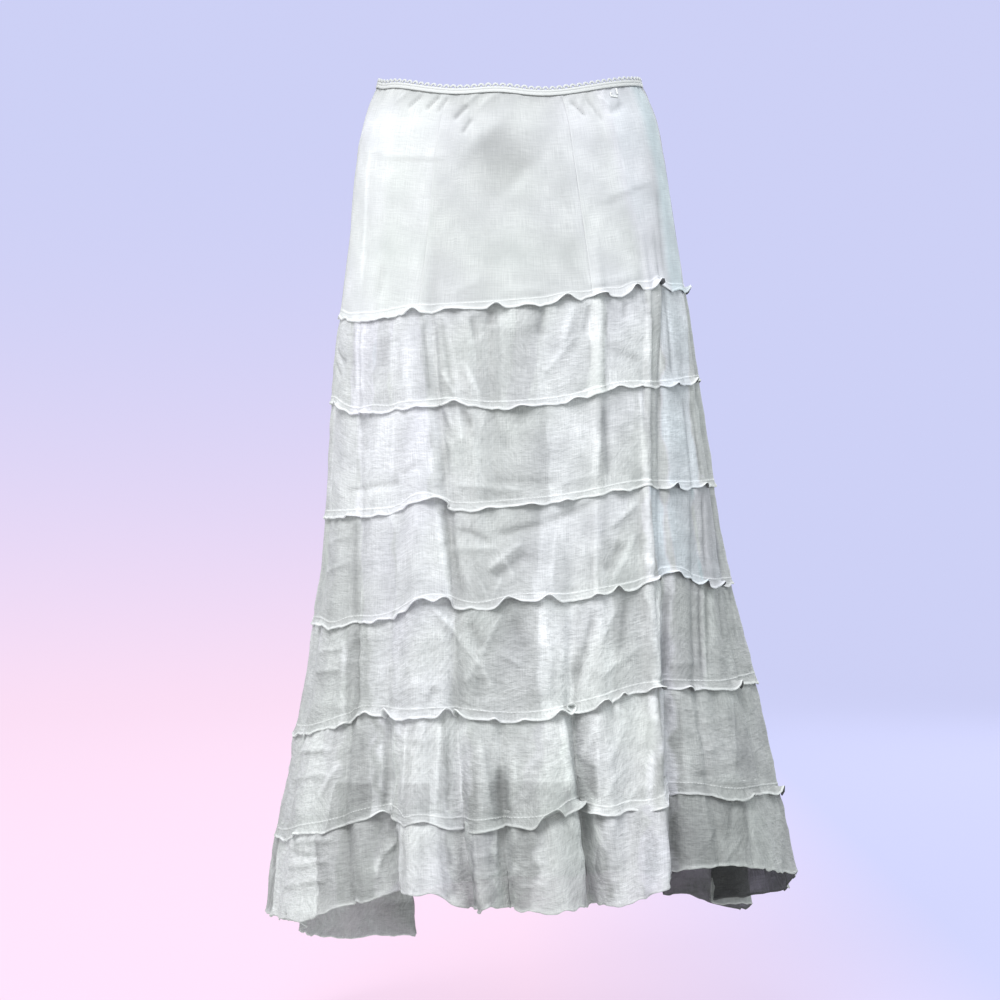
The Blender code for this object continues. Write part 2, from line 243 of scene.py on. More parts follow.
def skirt_points(turn, level, folded=True):
    """Points of the draped surface at each turn and level."""
    turn, level = np.broadcast_arrays(np.asarray(turn, float), np.asarray(level, float))
    angle = np.radians(turn)
    wide = half_breadth(level)
    front = read(SECTIONS, "front", level)
    back = read(SECTIONS, "back", level)
    deep = np.where(np.cos(angle) > 0, front, back)
    x = read(SECTIONS, "left_side", level) - wide + wide * np.sin(angle)
    y = -deep * np.cos(angle)
    if folded:
        out, along = fold_shift(turn, level, wide)
        length = np.hypot(deep * np.sin(angle), wide * np.cos(angle))
        normal_x = deep * np.sin(angle) / length
        normal_y = -wide * np.cos(angle) / length
        x = x + out * normal_x - along * normal_y
        y = y + out * normal_y + along * normal_x
    return np.stack([x, y, height_at(turn, level)], axis=-1)


def outward_normals(turn, level, folded=True):
    """A unit normal of the draped surface at each turn and level."""
    at = lambda turns, levels: skirt_points(turn + turns, level + levels, folded)
    return unit(np.cross(at(0.5, 0) - at(-0.5, 0), at(0, -0.03) - at(0, 0.03)))


# ---------------------------------------------------------------- cloth, seams and ruffles

CLOTH = 0.5 * MM  # thickness of the gauze
LAP = 1.3 * MM  # how far the foot of a piece stands out from the head of the next one
ALLOWANCE = 6 * MM  # cloth that goes up behind the seam
RIDGE = 0.55 * MM  # how far the stitched seam stands up
RIDGE_HALF_WIDTH = 1.1 * MM
BEAD_HALF_WIDTH = 1.4 * MM  # of the rolled and overlocked edge
BEAD_HALF_THICK = 0.8 * MM
RUFFLE_CLEAR = 0.35 * MM  # how far a ruffle stands off the cloth below even where it hangs flat
RUFFLE_WAVE = 0.5 * MM  # height of its smallest waves
SEAM_ROWS = (3.4, 2.0, 1.1, 0.4)  # mm from the seam
BEAD_ROWS = (2.0, 1.6, 1.0, 0.5, 0.15, 0.0)  # half widths of the rolled edge from its end
WAIST_ROWS = (0.0, 0.7, 1.5, 2.6, 4.2)  # mm below the waist seam
COLUMN_STEP = 2.15 * MM  # between columns of points at the front
BACK_STEP = 1.8  # how much wider apart they are round the back
BACK_BLEND = 20  # degrees over which they get so
TIER_ROWS = np.linspace(0, 1, 44, endpoint=False)  # shares of a tier's height
YOKE_ROWS = np.concatenate([np.linspace(0, 0.2, 20), np.linspace(0.2, 1, 38)[1:-1]])
WAIST_PUCKER = 1.1 * MM  # height of the small puckers under the waistband
WAIST_DIP = 1.1 * MM  # how far the waist seam is drawn in

# Frills: the waves across the hem: their length, their height and how far up they reach, in mm, and
# their seed.
Frill = namedtuple("Frill", "length height reach seed")
FRILLS = table(Frill, (14, 2.2, 12, 90), (6.5, 1.2, 12, 91))
HEM_WAVE = Frill(9, 1.8, 9, 92)  # how its edge rises and falls

# Ruffles: each seam's free edge. Its depth in mm, how steeply it hangs open, in degrees, how far its
# depth varies, in mm, and the seed of its small waves.
Ruffle = namedtuple("Ruffle", "depth open uneven seed")
RUFFLES = numbered(
    Ruffle,
    (8.5, 5, 2.0, 11), (7.8, 5, 1.8, 12), (8.2, 6, 2.0, 13), (8.8, 7, 2.2, 14), (11.5, 7, 2.6, 15),
    (12.0, 8, 2.8, 16),
)

# Crumples: how large the facets of the creased cloth are, in mm, how much longer they are than wide,
# and how high they stand, in mm, where the relief of a piece is 1.
Crumple = namedtuple("Crumple", "size long height")
CRUMPLES = table(
    Crumple,
    (36, 1.6, 1.3), (19, 2.2, 0.65), (9, 2.6, 0.24),
)
RELIEFS = (0.2, 0.6, 0.65, 0.8, 0.95, 1.1, 1.15)  # of the yoke and of each tier

# Arches: where a ruffle flips up and shows the seam behind it. By seam, the turn of each one's middle,
# its half width in mm, and how far it flips: 1 stands straight out.
Arch = namedtuple("Arch", "turn half_width flip")
ARCHES = [
    table(
        Arch,
        (-32.9, 8, 1.0), (-19.4, 11, 0.5), (-5, 8, 1.1), (5.3, 10, 0.3), (17.2, 9, 1.1), (29.6, 8, 0.7),
        (42.8, 9, 1.0), (54.8, 6, 1.1), (85.9, 5, 1.2),
    ),
    table(
        Arch,
        (-70.2, 8, 0.6), (-53.3, 6, 0.5), (-29.3, 8, 0.4), (-18, 8, 1.0), (1.6, 9, 0.7), (18.2, 9, 0.8),
        (32.1, 10, 0.6), (41.4, 6, 0.5), (58.1, 6, 0.8), (72.2, 6, 1.0),
    ),
    table(
        Arch,
        (-58.3, 6, 0.5), (-43.5, 7, 0.4), (-24, 10, 1.1), (-8.6, 8, 0.35), (3.3, 9, 0.6), (12.7, 8, 0.7),
        (29.4, 8, 0.4), (49.8, 6, 1.0), (67, 6, 0.9),
    ),
    table(
        Arch,
        (-72.6, 7, 0.6), (-40.8, 6, 0.6), (-33.3, 6, 0.5), (-26.6, 10, 1.1), (-21.4, 6, 1.1),
        (-3.7, 11, 1.2), (6.1, 9, 1.1), (19.6, 5, 0.6), (25.3, 6, 1.2), (36.5, 7, 1.2), (45, 6, 0.6),
        (56.9, 6, 0.9), (69, 5, 0.8),
    ),
    table(
        Arch,
        (-50.6, 6, 0.5), (-40.9, 6, 0.5), (-33.6, 5, 1.2), (-19.7, 5, 1.2), (-15.2, 5, 1.2), (-7.7, 5, 0.6),
        (-0.6, 6, 0.4), (6.6, 7, 1.0), (10.5, 7, 1.3), (17.8, 5, 0.9), (23, 5, 0.8), (31.2, 6, 0.8),
        (41.6, 6, 0.6), (62.4, 7, 1.0),
    ),
    table(
        Arch,
        (-62.6, 7, 0.4), (-35.1, 5, 0.7), (-21.7, 6, 0.4), (-6.6, 7, 0.3), (2.6, 7, 1.0), (4.5, 6, 1.1),
        (9.9, 5, 0.8), (15.1, 6, 0.5), (57, 6, 0.6), (75.8, 5, 1.0),
    ),
]
ARCH_FREE = (-100, 98)  # turns between which only these arches are made
ARCH_EVERY = 34 * MM  # mean distance between the others
FLIP = math.radians(82)  # how far an arch whose flip is 1 swings the ruffle out
SWINGS = (0.05, math.radians(112))  # the least and the most that any ruffle swings out

# Gathers under each seam: how many round the skirt, their height and width in mm, and how far down
# they reach, in mm.
Gathers = namedtuple("Gathers", "count height width reach")
GATHERS = numbered(
    Gathers,
    (70, 0.9, 4.5, 34), (70, 0.9, 4.5, 34), (80, 1.0, 4.5, 40), (90, 1.2, 4.5, 44), (130, 1.6, 5.0, 58),
    (160, 1.9, 5.0, 66),
)

Gore = namedtuple("Gore", "name at_waist at_foot")
GORES = table(
    Gore,
    ("yoke_front_centre", -27, -31.4), ("yoke_front_left", 22, 26.6), ("yoke_back_left", 85, 85),
    ("yoke_back_centre", 150, 150), ("yoke_back_right", 210, 210), ("yoke_front_right", 274, 274),
)
TURNED_UNDER = (1.0, 3.0, 7.0)  # mm past a gore's end, where it goes under the next one

Inset = namedtuple("Inset", "level inset")
LINING = table(
    Inset,
    (0.00, 1.3), (0.12, 2.5), (0.35, 4.0), (1.00, 7.0), (3.00, 19.0), (5.65, 58.0),
)
LINING_HEM = Line(-770, -752, -768, -762)
LINING_FOOT = 5.65  # level
LINING_SHOWS = [(-51, -35.5), (-32, -20), (-16.5, 13), (34, 66), (110, 150), (190, 245)]  # between turns

# Creases: from one turn and level to another, how far the cloth rises along it in mm (a trough is
# negative), its half width in mm, how far it bows towards the head, in mm, and how far it is folded
# flat on itself, from 0 to 1.
Crease = namedtuple(
    "Crease", "turn_a level_a turn_b level_b rise half_width bow folded", defaults=[0, 0]
)
STEEP_SIDE = (0.45, 0.9)  # the way across and down that creases fall away steeply, the side away from the light, where their painted shade lies
STEEPER = 0.45  # how much narrower that side is
CREASE_RISE = 1.25  # times the heights below
SOFT_DENT = 15  # mm: a crease with a larger half width than this has no crisp top
CREASE_SHADE = 0.12  # painted shade and highlight beside a crease: how much darker or brighter it makes the cloth, per mm of its rise
CRUMPLE_SHADE = 0.03  # painted shade and highlight for a crumple's height: darker in its hollows, brighter on its tops
FOLD_SHADE = 0.0022  # the same painted shade and highlight for a large fold's: darker in a valley, brighter on a ridge
BAND_SHADE = 0.08  # where it lies double or clings to what is behind it
PLACED_CREASES = [  # in the yoke and in each tier
    table(
        Crease,
        (-62.2, 0.28, -24.9, 0.31, 0.7, 4, -3), (-47, 0.31, -23.5, 0.33, -0.4, 2.5),
        (31.1, 0.56, 61.5, 0.48, 0.8, 4), (34.5, 0.58, 58.9, 0.5, -0.4, 3), (-11, 0.22, 5, 0.42, -2.2, 34),
        (-48.8, 0.02, -53.3, 0.07, 1.1, 2.4), (-39.6, 0.02, -45.1, 0.09, -1.8, 2),
        (-30.5, 0.01, -35.5, 0.09, -2.2, 2), (-26.5, 0.02, -30, 0.1, -1.6, 1.8),
        (-17.2, 0.06, -22.5, 0.13, -2.2, 2.2), (-12.9, 0, -18.8, 0.07, 1.2, 2.2),
        (-15.1, 0.13, -18.6, 0.2, -1.7, 2), (-5.8, 0, -12.2, 0.08, 0.7, 4),
        (25.4, 0.04, 30.7, 0.13, -1.6, 2.2), (33, 0.04, 38.1, 0.17, -1.3, 2.2),
        (39, 0.04, 43.7, 0.1, 0.8, 3), (52.1, 0.09, 42.4, 0.13, -1, 3), (-20.3, 0.95, -10.3, 0.89, 0.6, 5),
        (24, 0.96, 46.6, 0.97, 0.9, 8), (-3.8, 0.96, 10.7, 0.96, 0.8, 5),
        (-49.4, 0.79, -50.7, 0.94, -0.9, 6), (-65, 0.29, -60.8, 0.89, 0.8, 7),
        (65.3, 0.53, 61, 0.96, -1.1, 7),
    ),
    table(
        Crease,
        (-63.3, 1.13, -60.2, 1.88, -1.8, 4), (-56.1, 1.15, -53.5, 1.92, 1, 7),
        (-44.8, 1.3, -45.4, 1.62, -1.3, 8), (-34.1, 1.26, -32.1, 1.99, 1, 13),
        (-29.5, 1.14, -26.5, 1.97, -2, 3), (-23.4, 1.15, -18.6, 1.97, -2, 3.5),
        (-22.3, 1.72, -17.5, 2, 1.3, 4), (-14.8, 1.61, -10.3, 1.97, 1.5, 4.5),
        (-13.5, 1.16, -11.3, 1.36, -1.8, 4), (-7, 1.07, -7.6, 1.24, -2, 7),
        (-0.1, 1.3, -0.7, 1.71, -0.9, 5), (10.1, 1.11, 7.4, 1.38, -1.8, 6), (4.3, 1.26, 2.5, 1.72, -1, 7),
        (8.6, 1.76, 19.9, 1.43, 1.3, 5), (20.4, 1.09, 14.9, 1.52, 1.5, 7),
        (25.1, 1.15, 22.6, 1.43, -1.8, 5), (28.1, 1.08, 25.1, 2.1, 1.8, 6, 0, 0.5),
        (38.9, 1.15, 37.6, 1.33, -1.5, 5), (47.4, 1.16, 47.6, 1.37, -1.5, 5),
        (29.4, 1.59, 42.2, 1.8, -0.8, 5), (56.1, 1, 53.4, 2.02, 2.2, 4.5, 0, 0.5),
        (59.2, 1.09, 57.9, 2, -2, 3.5), (80, 1.12, 71.6, 1.95, -2, 4),
    ),
    table(
        Crease,
        (-52.2, 2.13, -52.1, 2.47, -1, 4), (-61.8, 2.82, -34.3, 2.8, -0.9, 3),
        (-36.5, 2.7, -28.8, 2.67, -0.8, 3), (-38.9, 2.17, -39.4, 2.74, 0.8, 4),
        (-22.9, 2.15, -18.9, 2.43, -1.8, 5), (-21.4, 2.46, -22.6, 2.94, -1.5, 6),
        (-17.4, 2.09, -15.7, 2.41, 1.4, 4), (-16.1, 2.09, -13.1, 2.27, -1.5, 4),
        (-7.4, 2.12, -2.8, 2.51, -1.3, 6), (1.5, 2.07, 0.1, 2.25, -1.3, 8),
        (-19.4, 2.83, 0.3, 2.91, 1.1, 5), (-8.3, 2.79, 11.5, 2.86, -1, 5), (11.4, 2.88, 23.3, 2.86, 0.8, 4),
        (25.4, 2.15, 22.4, 2.92, 1.8, 6), (27.6, 2.17, 26.2, 2.94, -1.6, 4),
        (32.5, 2.43, 35.2, 2.64, -1.2, 8), (41.3, 2.08, 38.5, 3.07, 2.4, 4.5, 0, 0.5),
        (64.9, 2.16, 61.1, 2.98, -1.4, 6), (69.4, 2.2, 67, 3.03, -2, 4),
    ),
    table(
        Crease,
        (-55.9, 3.09, -52.1, 4.06, -2.2, 5), (-52.1, 3.1, -48, 4.08, 1.2, 5),
        (-76.3, 3.32, -57.3, 3.23, 0.9, 4), (-75.2, 3.6, -55.3, 3.47, 0.9, 4),
        (-24.1, 3.1, -22.2, 3.52, 1.2, 5), (-22.2, 3.52, -19.5, 4.05, 1.5, 5),
        (-22.2, 3.1, -19.2, 3.5, -1.8, 5), (-19.2, 3.5, -15.8, 4.01, -2, 6),
        (-18.1, 3.29, -8.2, 3.42, -1.5, 4, 3), (-7.2, 3.34, 6.6, 3.26, -1.7, 4),
        (6.6, 3.26, 20.8, 3.13, -1.4, 4), (-17.4, 3.49, -6.4, 3.48, 1.3, 5),
        (-9.4, 3.71, 0.3, 3.45, 1.8, 4.5), (-7.8, 3.79, 1.3, 3.56, -1.6, 5),
        (-4.3, 3.61, -1.6, 3.86, 1.3, 3.5), (-11, 3.78, -8.6, 4.01, 1.1, 3),
        (-5.4, 3.81, -8.1, 4.01, 1.1, 3), (9.5, 3.37, 7.2, 4.04, 0.9, 5),
        (21.7, 3.17, 19.4, 4.05, 1.2, 3.5), (19.2, 3.65, 18.1, 4.05, -1.6, 4),
        (25.1, 3.41, 34.9, 3.23, 1.8, 5), (28.5, 3.59, 22.5, 3.86, -2, 7),
        (23.8, 3.96, 33.2, 3.52, 1.6, 5, -3), (60.5, 3.19, 55.5, 3.95, -1.4, 5),
        (66.2, 3.11, 59.6, 3.95, -2, 3.5), (81.4, 3.17, 76.2, 3.98, -2, 4),
        (38, 3.08, 35.7, 4.02, 2.4, 4, 0, 0.5),
    ),
    table(
        Crease,
        (-69.7, 4.3, -55.3, 4.31, 1.5, 3), (-70.6, 4.5, -54.3, 4.52, 1.6, 3),
        (-54.4, 4.17, -50.8, 5.02, 1.8, 4.5), (-51.4, 4.17, -44.4, 5.1, -2.5, 4.5),
        (-23.3, 4.14, -12, 4.53, 1.6, 5), (-14.2, 4.19, -10, 4.44, -2, 7),
        (-5.3, 4.13, -11.2, 4.52, 1.8, 4), (-11.2, 4.52, -14.7, 4.77, 1.5, 4),
        (-11.2, 4.52, -7.8, 4.81, 1.5, 4), (-2.8, 4.19, -0.1, 4.48, -2, 8),
        (-11.2, 4.69, -11.6, 4.9, -1.8, 6), (-6.2, 4.48, -0.8, 4.61, 1.4, 4), (4.5, 4.13, 6, 4.52, 1.6, 5),
        (6, 4.52, 4.4, 4.91, 1.5, 5), (18.6, 4.18, 12, 4.85, -2.2, 4), (18.6, 4.51, 25, 4.21, 1.2, 4),
        (17.7, 4.82, 30.1, 4.63, 1.2, 4.5), (28, 4.13, 24.5, 4.61, -1.8, 5),
        (-21.8, 4.83, -23.5, 4.95, -1.5, 3), (41.3, 4.27, 36.5, 5.01, -2, 4),
        (42.4, 4.29, 40, 4.66, 1.2, 3), (57.4, 4.03, 48.8, 5, 1.5, 3), (55.6, 4.03, 47.4, 5, -2.2, 2.4),
        (58.5, 4.06, 54.3, 4.62, -1.8, 4), (68.4, 4.07, 62.3, 4.62, -1.4, 4),
        (78.9, 4.13, 73, 4.69, -1.6, 4), (38.7, 4.86, 49.2, 4.82, 0.9, 4),
        (38.9, 4.06, 31.2, 5.07, 3, 4, 0, 0.6),
    ),
    table(
        Crease,
        (-73.8, 5.25, -52.1, 5.32, 1.8, 3.5), (-74.2, 5.52, -52.8, 5.55, 1.7, 3.5),
        (-49.3, 5.48, -54.8, 5.79, 1.8, 5), (-41.5, 5.28, -38.6, 6.03, -1.8, 11),
        (-37.2, 5.16, -35, 5.94, 1.2, 3.5), (-35.3, 5.16, -33.8, 6.01, -2.2, 3.5),
        (-18.7, 5.11, -17.7, 6.03, -1.8, 4), (-14.9, 5.16, -15.5, 6.01, 1.5, 4),
        (-12.5, 5.54, -11.5, 6.02, -1.8, 5), (-10.8, 5.26, -8.1, 6.01, 1.4, 4.5),
        (-6.5, 5.53, -5, 6.04, -2.2, 7), (-2.6, 5.29, -3.3, 5.98, 1.2, 5), (-1.9, 5.62, 2.3, 5.43, 1, 4),
        (-2, 5.84, 2.2, 5.69, 1, 4), (12.6, 5.58, 17.2, 5.18, 1.5, 6), (14, 5.61, 13.9, 6.04, -2, 6),
        (16.7, 5.16, 15.2, 6.07, 1.5, 3), (16.8, 5.68, 23.3, 5.27, 1.1, 7),
        (16.3, 5.92, 19.6, 5.72, 1.1, 4), (21.7, 6, 25.9, 5.85, 1.1, 4), (37.3, 5.15, 28.6, 5.97, -2, 5),
        (38.9, 5.18, 35.7, 6.04, -1.5, 3.5), (37.9, 5.96, 59.2, 5.76, -1.1, 6),
        (42.3, 5.72, 51.3, 5.57, 0.9, 5), (60.3, 5.1, 53.8, 5.8, 0.9, 5),
        (30.4, 5.08, 25.8, 6, 3, 4, 0, 0.6), (-28.2, 5.15, -27.2, 5.98, 1.6, 4, 0, 0.2),
        (-20.4, 5.12, -20, 6, 1.4, 4), (7.4, 5.02, 9.3, 6, 2.4, 5, 0, 0.2),
    ),
    table(
        Crease,
        (-63.4, 6.17, -47.1, 6.24, 2, 3.5), (-66.9, 6.44, -47.4, 6.45, 2, 3.5),
        (-65.2, 6.28, -51.8, 6.37, -2.4, 4.5), (-68.6, 6.65, -49, 6.63, 1.8, 3.5),
        (-29.2, 6.19, -33.8, 6.56, 2, 2.5), (-33.8, 6.56, -34.2, 6.83, 1.6, 2.5),
        (24.8, 6.03, 20.8, 6.85, 2.4, 3), (-21.7, 6.24, -20.7, 6.98, -1.2, 4),
        (-12.1, 6.42, -7.3, 6.36, 0.9, 4), (-11.9, 6.65, -7.2, 6.57, 0.9, 4),
        (-2.5, 6.3, 2.1, 6.27, 0.9, 4), (-2.5, 6.52, 2.2, 6.48, 0.9, 4), (-2.8, 6.75, 2.4, 6.71, 0.9, 4),
        (17.6, 6.2, 16.8, 6.94, -1.2, 3.5), (21, 6.26, 19.1, 6.96, 1, 4), (23.6, 6.27, 21.7, 6.89, -1.1, 4),
        (50.6, 6.12, 45.5, 6.71, -1.2, 4), (55.1, 6.13, 51.6, 6.99, -1.2, 4),
        (36.8, 6.79, 43.3, 6.51, 0.9, 4), (42.7, 6.97, 50.3, 6.63, 0.9, 4),
        (-27.2, 6.08, -26.8, 6.98, 2, 4, 0, 0.25), (-20, 6.05, -18.3, 7, 2, 5, 0, 0.2),
        (-11.5, 6.1, -9.6, 7, 2.2, 5, 0, 0.2), (9.8, 6.08, 9.6, 7, 2.6, 5, 0, 0.25),
        (14.8, 6.1, 15.5, 7, 1.6, 4, 0, 0.2), (25.6, 6.05, 24.6, 6.8, 2, 4, 0, 0.4),
    ),
]
OTHER_CREASES = (14, 28, 28, 32, 36, 44, 44)  # how many more each piece has round the sides and the back
BACK_TURNS = (82, 282)  # between which the sides and the back lie
OTHERS_UPRIGHT = 0.62  # the share of them that run down the cloth


def all_creases():
    """The creases placed above, and others like them on the sides and the back."""
    chance = np.random.default_rng(5)
    creases = []
    for number, placed in enumerate(PLACED_CREASES):
        creases += placed
        for _ in range(OTHER_CREASES[number]):
            turn = chance.uniform(*BACK_TURNS)
            upright = chance.random() < OTHERS_UPRIGHT
            top = chance.uniform(0.06, 0.62)
            long = chance.uniform(0.25, 0.9) if upright else chance.uniform(0.05, 0.3)
            sideways = chance.normal(0, 2.5) if upright else chance.uniform(5, 16) * chance.choice([-1, 1])
            rise = chance.uniform(0.9, 2.1) * chance.choice([-1, 1]) * (0.5 if number == 0 else 1)
            creases.append(
                Crease(
                    turn, number + top, turn + sideways, number + min(top + long, 0.99),
                    rise, chance.uniform(3.2, 7), chance.uniform(-3, 3),
                )
            )
    return creases


CREASES = all_creases()


def fold_turn(place, level):
    """The turn, at each level, of a place counted in folds round the skirt."""
    middles = np.array([fold[:4] for fold in FOLDS] + [[turn + 360 for turn in FOLDS[0][:4]]], float)
    place, level = np.broadcast_arrays(place, level)
    i = np.clip(np.floor(place).astype(int), 0, len(FOLDS) - 1)
    j = np.clip(np.searchsorted(FOLD_LEVELS, level, side="right") - 1, 0, len(FOLD_LEVELS) - 2)
    low = np.take(FOLD_LEVELS, j)
    part = np.clip((level - low) / (np.take(FOLD_LEVELS, j + 1) - low), 0, 1)
    here = middles[i, j] * (1 - part) + middles[i, j + 1] * part
    following = middles[i + 1, j] * (1 - part) + middles[i + 1, j + 1] * part
    return here + (following - here) * (place - i)


def even_places(level, step):
    """Places round the skirt about one step apart at this level, and wider apart round the back, how far
    round each one lies, and how far it is all round."""
    samples = np.linspace(0, len(FOLDS), 6001)
    turn = fold_turn(samples, level)
    gaps = paces(skirt_points(turn, level))
    wider = 1 + (BACK_STEP - 1) * ease((np.abs(wrapped(turn[1:])) - BACK_TURNS[0]) / BACK_BLEND)
    run, steps = running(gaps), running(gaps / wider) / step
    at = np.linspace(0, steps[-1], int(steps[-1]), endpoint=False)
    return np.interp(at, steps, samples), np.interp(at, steps, run), run[-1]


LATTICE = (61, 67)  # points, after which the noise repeats


def cloth_noise(across, down, seed):
    """Smooth noise from -1 to 1 over a lattice one unit wide, in the two directions."""
    lattice = np.random.default_rng(seed).uniform(-1, 1, LATTICE)
    i, j = np.floor(across).astype(int), np.floor(down).astype(int)
    p, q = ease(across - i), ease(down - j)
    corner = lambda a, b: lattice[(i + a) % LATTICE[0], (j + b) % LATTICE[1]]
    upper = corner(0, 0) * (1 - p) + corner(1, 0) * p
    lower = corner(0, 1) * (1 - p) + corner(1, 1) * p
    return upper * (1 - q) + lower * q


def line_noise(along, seed):
    return cloth_noise(along, 0 * along, seed)


def flat_place(turn, level, height):
    """Where a point lies on the cloth laid out flat, in metres: across and down."""
    return np.radians(turn) * half_breadth(level), -height


# Grain: in each stretch round the skirt, the turn of its middle, and how its crumples slope.
Grain = namedtuple("Grain", "middle slope")
GRAINS = table(
    Grain,
    (-155, 0.5), (-110, -0.4), (-65, 0.08), (-30, 0.9), (0, 0.35), (30, -0.8), (65, -0.3), (110, 0.6),
    (155, -0.1),
)
GRAIN_SPREAD = 24  # degrees
GRAIN_REACH = 2.2 * GRAIN_SPREAD


def crumpled(turn, level, height, seed):
    """The facets, ridges and dents of creased gauze, in metres."""
    relief, weights = np.zeros(level.shape), np.full(level.shape, 1e-6)
    for number, grain in enumerate(GRAINS):
        local = wrapped(turn - grain.middle)
        near = np.abs(local) < GRAIN_REACH
        weight = hump(local[near] / GRAIN_SPREAD)
        across, down = flat_place(local[near], level[near], height[near])
        slant = math.hypot(1, grain.slope)
        along = (across - down * grain.slope) / slant
        over = (down + across * grain.slope) / slant
        kinds = 0
        for crumple in CRUMPLES:
            size = crumple.size * MM
            key = seed + number * 10 + round(crumple.size)
            bend = cloth_noise(across / (size * 2.3), down / (size * 2.3), key + 501)
            wave = cloth_noise(along / (size * crumple.long) + 0.6 * bend, over / size + 0.9 * bend, key)
            sharp = np.where(bend > 0, 1 - 2.4 * np.abs(wave), 1.6 * wave)
            blend = ease(np.abs(bend) / 0.12)
            kinds = kinds + crumple.height * MM * sharp * blend * (0.7 + 0.6 * np.abs(bend))
        relief[near] += weight * kinds
        weights[near] += weight
    return relief / weights


def gathers(number, run, around, down):
    """Small pleats that start at a seam and fade down the tier, in metres."""
    usual = GATHERS[number]
    chance = np.random.default_rng(100 + number)
    relief = np.zeros_like(run)
    for count in range(usual.count):
        middle = (count + chance.uniform(-0.45, 0.45)) / usual.count * around
        height = usual.height * MM * chance.uniform(0.35, 1.25) * chance.choice([1, 1, -0.8])
        width = usual.width * MM * chance.uniform(0.5, 1.5)
        reach = usual.reach * MM * chance.uniform(0.4, 1.5)
        lean = chance.uniform(-0.15, 0.15)
        off = (run - middle - lean * down + around / 2) % around - around / 2
        grown = width * (1 + 0.7 * down / reach)
        relief += height * hump(off / grown) * hump(down / reach)
    return relief * ease(down / (9 * MM))


def tent(x):
    """A hump with a crisp top and long, soft feet."""
    return np.exp(0.3 - np.sqrt(x**2 + 0.09))


def crease_relief(turn, level, height):
    """How far the creases raise each point, in metres, how thick the cloth folds together there, and
    the painted highlight and shade beside them: brighter on a ridge, darker on the side away from the light."""
    relief, folded, shade = (np.zeros(level.shape) for _ in range(3))
    breadth = half_breadth(level)
    top, foot = level.min() - 0.1, level.max() + 0.1
    for crease in CREASES:
        if max(crease.level_a, crease.level_b) < top or min(crease.level_a, crease.level_b) > foot:
            continue
        ends = np.array([[crease.turn_a, crease.level_a], [crease.turn_b, crease.level_b]])
        heights = height_at(ends[:, 0], ends[:, 1])
        shift = np.radians(crease.turn_b - crease.turn_a) * half_breadth(crease.level_b)
        fall = heights[0] - heights[1]
        length = math.hypot(shift, fall)
        across = np.radians(wrapped(turn - crease.turn_a)) * breadth
        down = heights[0] - height
        along = (across * shift + down * fall) / length**2
        aside = (across * fall - down * shift) / length
        aside = aside - crease.bow * MM * (1 - (2 * along - 1) ** 2)
        steep = STEEPER * np.sign(crease.rise * (fall * STEEP_SIDE[0] - shift * STEEP_SIDE[1]))
        width = crease.half_width * MM * (1 - steep * np.sign(aside))
        fade = ease(along / 0.25 + 0.3) * ease((1 - along) / 0.25 + 0.3)
        soft = crease.half_width > SOFT_DENT
        across_it = hump(aside / width) if soft else tent(aside / width)
        relief += CREASE_RISE * crease.rise * MM * across_it * fade
        if crease.folded:
            folded = np.maximum(folded, crease.folded * hump(0.8 * aside / width) * fade)
        # painted light and shade: a ridge gets a painted highlight on its top and painted shade on its steep
        # side; a trough gets painted shade in it and a little painted highlight beyond it
        past = aside * np.sign(steep) / (crease.half_width * MM)
        if soft:
            side = -hump(past)
        elif crease.rise > 0:
            side = 1.1 * hump(1.6 * past + 0.3) - 0.9 * ease(past * 2) * np.exp(-np.maximum(past, 0) / 1.3)
        else:
            side = 0.5 * hump((past + 1.8) / 1.1) - tent(past * 1.1)
        shade += CREASE_SHADE * abs(crease.rise) * side * fade
    return relief, folded, shade
